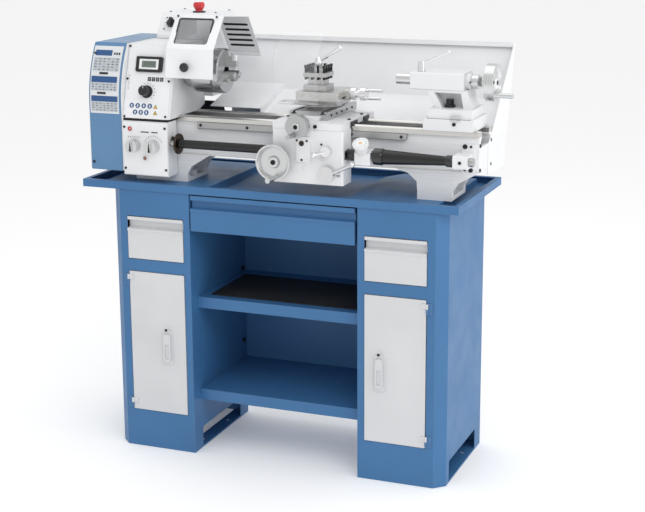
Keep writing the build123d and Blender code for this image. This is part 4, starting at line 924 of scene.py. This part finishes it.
def cabinet_fittings(m):
    """Switch plate on the sloping top of the electrical cabinet, its marks, screws, vents and the stop
    button's collar.
    """
    slope = Plane((-398, 43, 1228.5), RIGHT, (0, -63, 46))
    p = Piece("switch_plate", "frame", m["white"], "casting_white")
    p.tile(slope, 0, 0, 46, 46, 0.1, 1.6, 0.4, 4)
    p.finish()
    screws = Piece("cabinet_screws", "frame", m["dark"], "black_oxide")
    for u, v in ((-19, -19), (19, -19), (19, 19), (-19, 19)):
        screws.screw(slope.point(u, v, 1.6), slope.facing, 2.2, 1.4)
    for x in (-424, -276):
        for y in (90, 184):
            screws.screw((x, y, 1260.1), UP, 3.2, 2.0)
    for y in (80, 176):
        for z in (1040, 1236):
            screws.screw((-261.9, y, z), RIGHT, 3.2, 2.0)
    screws.finish()
    mark = Piece("switch_marks", "frame", m["ink"], "black_plastic")
    mark.tile(slope, 0, 19, 1.4, 4.5, 1.6, 1.75)
    mark.tile(slope, -19, 3, 4.5, 1.4, 1.6, 1.75)
    mark.finish()
    # painted shade: black strips stand in for the shaded inside of the vent slots
    vents = Piece("cabinet_vents", "frame", m["hole"], "black_rubber")
    for i in range(7):
        vents.box(-262.2, -261.6, 96, 160, 1060 + i * 11, 1064 + i * 11, 0.1)
    vents.finish()
    collar = Piece("stop_button_collar", "frame", m["black"], "black_plastic")
    collar.turned((-330, 90, 1260.1), UP, [(0, 19), (2.6, 19), (3.6, 18), (3.6, 11), (0, 11)], 48)
    collar.finish()


def chuck_guard_fittings(m):
    window = Plane((-233, -143, 1226), RIGHT, (0, -68, 46))
    pane = Piece("guard_pane", "chuck_guard", m["pane"], "clear_plastic")
    pane.tile(window, 0, 0, 110, 88, -1.4, -0.2, 0.2, 8)
    pane.finish()
    seal = Piece("guard_window_seal", "chuck_guard", m["black"], "black_rubber")
    seal.ring_tile(window, 109, 87, 100, 78, -0.2, 1.5, 8, 0.5)
    seal.finish()
    screws = Piece("guard_screws", "chuck_guard", m["dark"], "black_oxide")
    for u, v in ((-60, -49), (60, -49), (60, 49), (-60, 49)):
        screws.screw(window.point(u, v, 0.6), window.facing, 3.2, 2.2)
    screws.finish()
    slope = Plane((-205, 99.5, 1198.5), RIGHT, (0, -0.811, -0.585))
    # painted shade: black strips on the guard's inner slope stand in for the dark of its slots and its
    # shaded inside
    slots = Piece("guard_slots", "chuck_guard", m["hole"], "black_rubber")
    for i in range(5):
        slots.tile(slope, 0, -40 + i * 20, 78, 8, 2.2, 2.6, 0, 3.6)
    slots.finish()
    knob = Piece("guard_knob", "chuck_guard", m["gloss"], "black_plastic")
    facing = (0, -0.985, 0.17)
    stem = [(0, 5), (7, 4.4), (8, 9)]
    grip = [(11, 12.6), (16, 13.4), (20, 11.6), (22, 8), (22.6, 0)]
    knob.turned((-236, -188.2, 1131), facing, stem + grip)
    knob.finish()


def latch_plates(m):
    """A keyhole in each latch's handle."""
    for side, x in (("left", -304.5), ("right", 346.5)):
        p = Piece(side + "_latch_keyhole", side + "_latch", m["dark"], "black_oxide")
        p.turned((x, -227.05, 372), OUT, [(0, 4.2), (0.7, 4.2), (0.7, 1.6), (0.2, 1.4), (0.2, 0)], 24)
        p.finish()


# ---------------- carriage and slides
def carriage_fittings(m):
    # painted shade: black discs stand in for the shade inside the oil holes
    hole = Piece("apron_oil_holes", "carriage", m["hole"], "black_rubber")
    hole.turned((121.5, -219.1, 943.8), OUT, [(0, 7.4), (1.0, 7.4), (1.0, 4.8), (0.2, 4.6), (0.2, 0)], 32)
    hole.turned((121.6, -219.1, 898.4), OUT, [(0, 3.4), (0.5, 3.4), (0.5, 0)], 24)
    hole.finish()
    dark = Piece("apron_screws", "carriage", m["dark"], "black_oxide")
    for x, z, y in ((108, 951.6, -219), (137, 951.4, -219), (178, 943.5, -215)):
        dark.screw((x, y - 0.05, z), OUT, 3.0, 1.6)
    plugs = Piece("apron_plugs", "carriage", m["white_paint"], "casting_white")
    plugs.turned((130, APRON_FACE, 876), OUT, [(0, 8.0), (0.8, 8.0), (1.2, 7.4), (1.2, 0)], 36)
    socketed = [(0, 6), (1.6, 6), (2.2, 5.4), (2.2, 2.6), (0.8, 2.4), (0.8, 0)]
    plugs.turned((178, APRON_FACE, 904), OUT, socketed, 28)
    plugs.finish()
    liner = Piece("apron_oil_bush", "carriage", m["bronze"], "bright_steel")
    liner.turned((121.5, -219.3, 943.8), OUT, [(0.3, 4.6), (0.9, 4.4), (0.9, 0)], 24)
    liner.finish()
    dark.screw((160, -214.05, 991), OUT, 5.0, 6.0)
    for x in (46, 226):
        for y in (-130, -30):
            dark.screw((x, y, 1001.05), UP, 4.6, 3.0)
    dark.finish()
    plate = Piece("apron_plate", "carriage", m["pale"], "casting_white")
    plate.tile(front(226, APRON_FACE, 866), 0, 0, 16, 22, 0, 0.6, 0.1, 1.5)
    plate.finish()
    ink = Piece("apron_plate_marks", "carriage", m["ink"], "black_plastic")
    for z, wide, tall in ((871, 9, 5), (862, 11, 1.6), (858.6, 8, 1.6)):
        ink.tile(front(226, APRON_FACE - 0.6, z), 0, 0, wide, tall, 0, 0.15)
    ink.finish()
    wipers = Piece("way_wipers", "carriage", m["black"], "black_rubber")
    for x0, x1 in ((31.5, 35), (237, 240.5)):
        wipers.box(x0, x1, -150, -100, 986.6, 998, 0.6)
        wipers.box(x0, x1, -50, -10, 986.6, 998, 0.6)
    wipers.finish()
    # partly a black part, partly painted shade: the black also fills the shaded gap between the apron and
    # the dial housing
    sleeve = Piece("leadscrew_sleeve_and_gap_shade", "carriage", m["gloss"], "black_oxide")
    profile = [(0, 15), (1.5, 16), (24, 16), (25.5, 14.5), (25.5, 9.8), (0, 9.8), (0, 15)]
    sleeve.turned((240.2, *SCREW_AXIS), RIGHT, profile)
    sleeve.finish()


def wheel_hubs(m):
    p = Piece("carriage_wheel_hub", "carriage_handwheel", m["dark"], "black_oxide")
    x, z = CARRIAGE_WHEEL
    p.turned((x, -248.05, z), OUT, [(0, 7), (1.6, 7), (2.4, 6.2), (2.4, 3.2), (0.8, 3.0), (0.8, 0)])
    p.finish()
    ring = Piece("cross_wheel_ring", "cross_slide_wheel", m["steel_ring"], "bright_steel")
    x, z = CROSS_WHEEL
    ring.turned((x, -262.05, z), OUT, [(0, 11), (3.0, 11), (4.2, 9.6), (4.2, 6.4), (1, 6.0), (0, 6.0)])
    ring.finish()
    socket = Piece("cross_wheel_socket", "cross_slide_wheel", m["dark"], "black_oxide")
    socket.turned((x, -262.05, z), OUT, [(0, 5.9), (2.6, 5.9), (3.2, 5.0), (3.2, 2.8), (1, 2.6), (1, 0)])
    socket.finish()
    tail = Piece("tail_wheel_hub", "tailstock_wheel", m["dark"], "black_oxide")
    tail.turned((624.05, *SPINDLE), RIGHT, [(0, 6.5), (1.2, 6.5), (2, 5.8), (2, 3.0), (0.8, 2.8), (0.8, 0)])
    tail.finish()


def slide_fittings(m):
    head = [(0, 3.4), (1.6, 3.4), (2.0, 2.8), (2.0, 1.4), (0.8, 1.3), (0.8, 0)]
    dark = Piece("top_slide_gib_screws", "top_slide", m["bright"], "bright_steel")
    for x in (85, 125, 165):
        dark.turned((x, -128.02, 1059), OUT, head, 20)
    dark.finish()
    head = [(0, 3.2), (1.6, 3.2), (2.0, 2.6), (2.0, 1.3), (0.8, 1.2), (0.8, 0)]
    gib = Piece("cross_slide_gib_screws", "cross_slide", m["dark"], "black_oxide")
    for y in (-140, -100, -60, -20, 20):
        gib.turned((178.02, y, 1012), RIGHT, head, 20)
    gib.finish()


def dial_fittings(m):
    facing = Vector((0, -0.555, 0.832))
    plane = Plane(DIAL, RIGHT, facing)
    lift = 8.45
    boss = Piece("dial_boss", "threading_dial", m["brass"], "bright_steel")
    boss.turned(plane.point(0, 0, lift), facing, [(0, 4.4), (1.0, 4.4), (1.5, 3.6), (1.5, 0)], 28)
    boss.finish()
    marks = Piece("dial_marks", "threading_dial", m["ink"], "black_plastic")
    for i in range(12):
        marks.prism(plane, spoke(16.5, i * tau / 12, 2.6, 0.4), lift, lift + 0.3)
    marks.finish()


# ---------------- bed, leadscrew covers, tailstock
def bed_fittings(m):
    dark = Piece("rack_screws", "frame", m["dark"], "black_oxide")
    for x in (-215, -71, 240, 382):
        dark.turned((x, -150.1, 965), OUT, [(0, 4.4), (0.6, 4.4), (0.6, 2.6), (0.2, 2.4), (0.2, 0)], 24)
    dark.finish()
    bolts = Piece("bracket_bolts", "frame", m["dark"], "black_oxide")
    for x, z, radius in ((559, 949, 6.5), (575, 949, 3.4), (559, 886, 3.4), (575, 886, 6.0)):
        bolts.screw((x, -146.1, z), OUT, radius, radius * 0.55)
    bolts.screw((560, -200.05, 914), OUT, 4.4, 2.4)
    for y in (-130, -24):
        for z in (884, 950):
            bolts.screw((595.05, y, z), RIGHT, 5.0, 3.0)
    bolts.finish()


def leadscrew_covers(m):
    """Spiral spring covers that draw out between the bed and the carriage."""
    left_washer = Piece("left_cover_washer", "frame", m["bronze"], "black_oxide")
    profile = [(0, 29.5), (4.4, 29.5), (5.2, 28.6), (5.2, 10), (0, 10), (0, 29.5)]
    left_washer.turned((-271.5, *SCREW_AXIS), RIGHT, profile, 64)
    washer = left_washer.finish()
    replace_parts(washer, "leadscrew_cover_left")
    left = Piece("left_cover_coil", "frame", m["coil"], "black_oxide")
    count = 74
    profile = []
    for i in range(count + 1):
        along = 296 * i / count
        profile.append((along, 12.7 if i % 2 else 11.8))
    left.turned((-266.4, *SCREW_AXIS), RIGHT, profile + [(296, 10), (0, 10)], 32)
    coil = left.finish(25, False)
    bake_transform(coil)
    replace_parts(coil, "leadscrew_cover_left")

    collar = Piece("right_cover_collar", "frame", m["gloss"], "black_oxide")
    profile = [(0, 12.6), (0, 10), (21, 10), (21, 15), (19.5, 16), (3, 16), (0, 14)]
    collar.turned((518, *SCREW_AXIS), RIGHT, profile, 48)
    ring = collar.finish()
    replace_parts(ring, "leadscrew_cover_right")


def right_cover(m):
    """The right spring cover: a wide head by the dial, then turns that shrink to the end bracket."""
    collar = Piece("right_cover_head", "carriage", m["gloss"], "black_oxide")
    profile = [(0, 10), (0, 20.5), (1.5, 22), (25, 22.6), (27, 21.5), (27, 10), (0, 10)]
    collar.turned((317, *SCREW_AXIS), RIGHT, profile, 64)
    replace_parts(collar.finish(), "leadscrew_cover_right")
    coil = Piece("right_cover_coil", "frame", m["coil"], "black_oxide")
    profile = [(0, 10)]
    steps = 52
    for i in range(steps + 1):
        t = i / steps
        profile.append((174 * t, 20.0 - 7.5 * t + (0.28 if i % 2 else -0.28)))
    profile.append((174, 10))
    profile.append((0, 10))
    coil.turned((344.1, *SCREW_AXIS), RIGHT, profile, 64)
    piece = coil.finish(25, False)
    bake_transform(piece)
    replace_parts(piece, "leadscrew_cover_right")


def tailstock_fittings(m):
    dark = Piece("tailstock_screws", "tailstock", m["dark"], "black_oxide")
    dark.screw((527, -145.05, 1006), OUT, 5.0, 3.4)
    for y in (-104, -50):
        dark.screw((556.05, y, 1113), RIGHT, 3.4, 2.2)
    dark.finish()
    gib = Piece("tailstock_index_plates", "tailstock", m["bright"], "bright_steel")
    gib.box(516, 545, -146.2, -144.8, 1012, 1018.4, 0.3)
    gib.box(516, 545, -146.2, -144.8, 1019.6, 1028, 0.3)
    gib.finish()
    marks = Piece("tailstock_index_marks", "tailstock", m["ink"], "black_plastic")
    for i in range(9):
        marks.box(518.5 + i * 3, 518.9 + i * 3, -146.5, -146.1, 1019.8, 1023 + 1.6 * (i % 4 == 0), 0)
    marks.finish()
    seam = Piece("tailstock_seam", "tailstock", m["hole"], "black_rubber")
    seam.box(452, 572, -145.2, -144.6, 1018.6, 1019.4, 0)
    seam.finish()


def splash_guard_plate(m):
    slope = 0.29
    place = Plane((464, 120 + slope * 274, 1124), RIGHT, (0, -1, slope))
    p = Piece("splash_guard_plate", "frame", m["white"], "casting_white")
    p.tile(place, 0, 0, 60, 40, 0.1, 0.9, 0.1, 2)
    p.finish()
    lines = Piece("splash_guard_plate_lines", "frame", m["grey"], "casting_white")
    for i in range(5):
        lines.tile(place, 0, -16 + i * 8, 54, 0.9, 0.9, 1.0)
    for u in (-27, -9, 9, 27):
        lines.tile(place, u, 0, 0.9, 32.9, 0.9, 1.0)
    lines.finish()
    rivets = Piece("splash_guard_screws", "frame", m["dark"], "black_oxide")
    for x in (-230, -20, 190, 400, 575):
        y = 120 + (1168 - 850) * slope
        spot = Plane((x, y, 1168), RIGHT, (0, -1, slope))
        rivets.screw(spot.point(0, 0, 0.1), spot.facing, 2.6, 1.6)
    rivets.finish()


paint_cad_nodes()
MARKS = detail_finishes()
for build in (
    *(end_cover_prints, cover_fasteners, fascia_prints, speed_knob_pointer, gearbox_fittings),
    *(cabinet_fittings, chuck_guard_fittings, latch_plates, carriage_fittings, wheel_hubs),
    *(slide_fittings, dial_fittings, bed_fittings, leadscrew_covers, right_cover),
    *(tailstock_fittings, splash_guard_plate),
):
    build(MARKS)
make_camera()
make_lights()
make_floor()
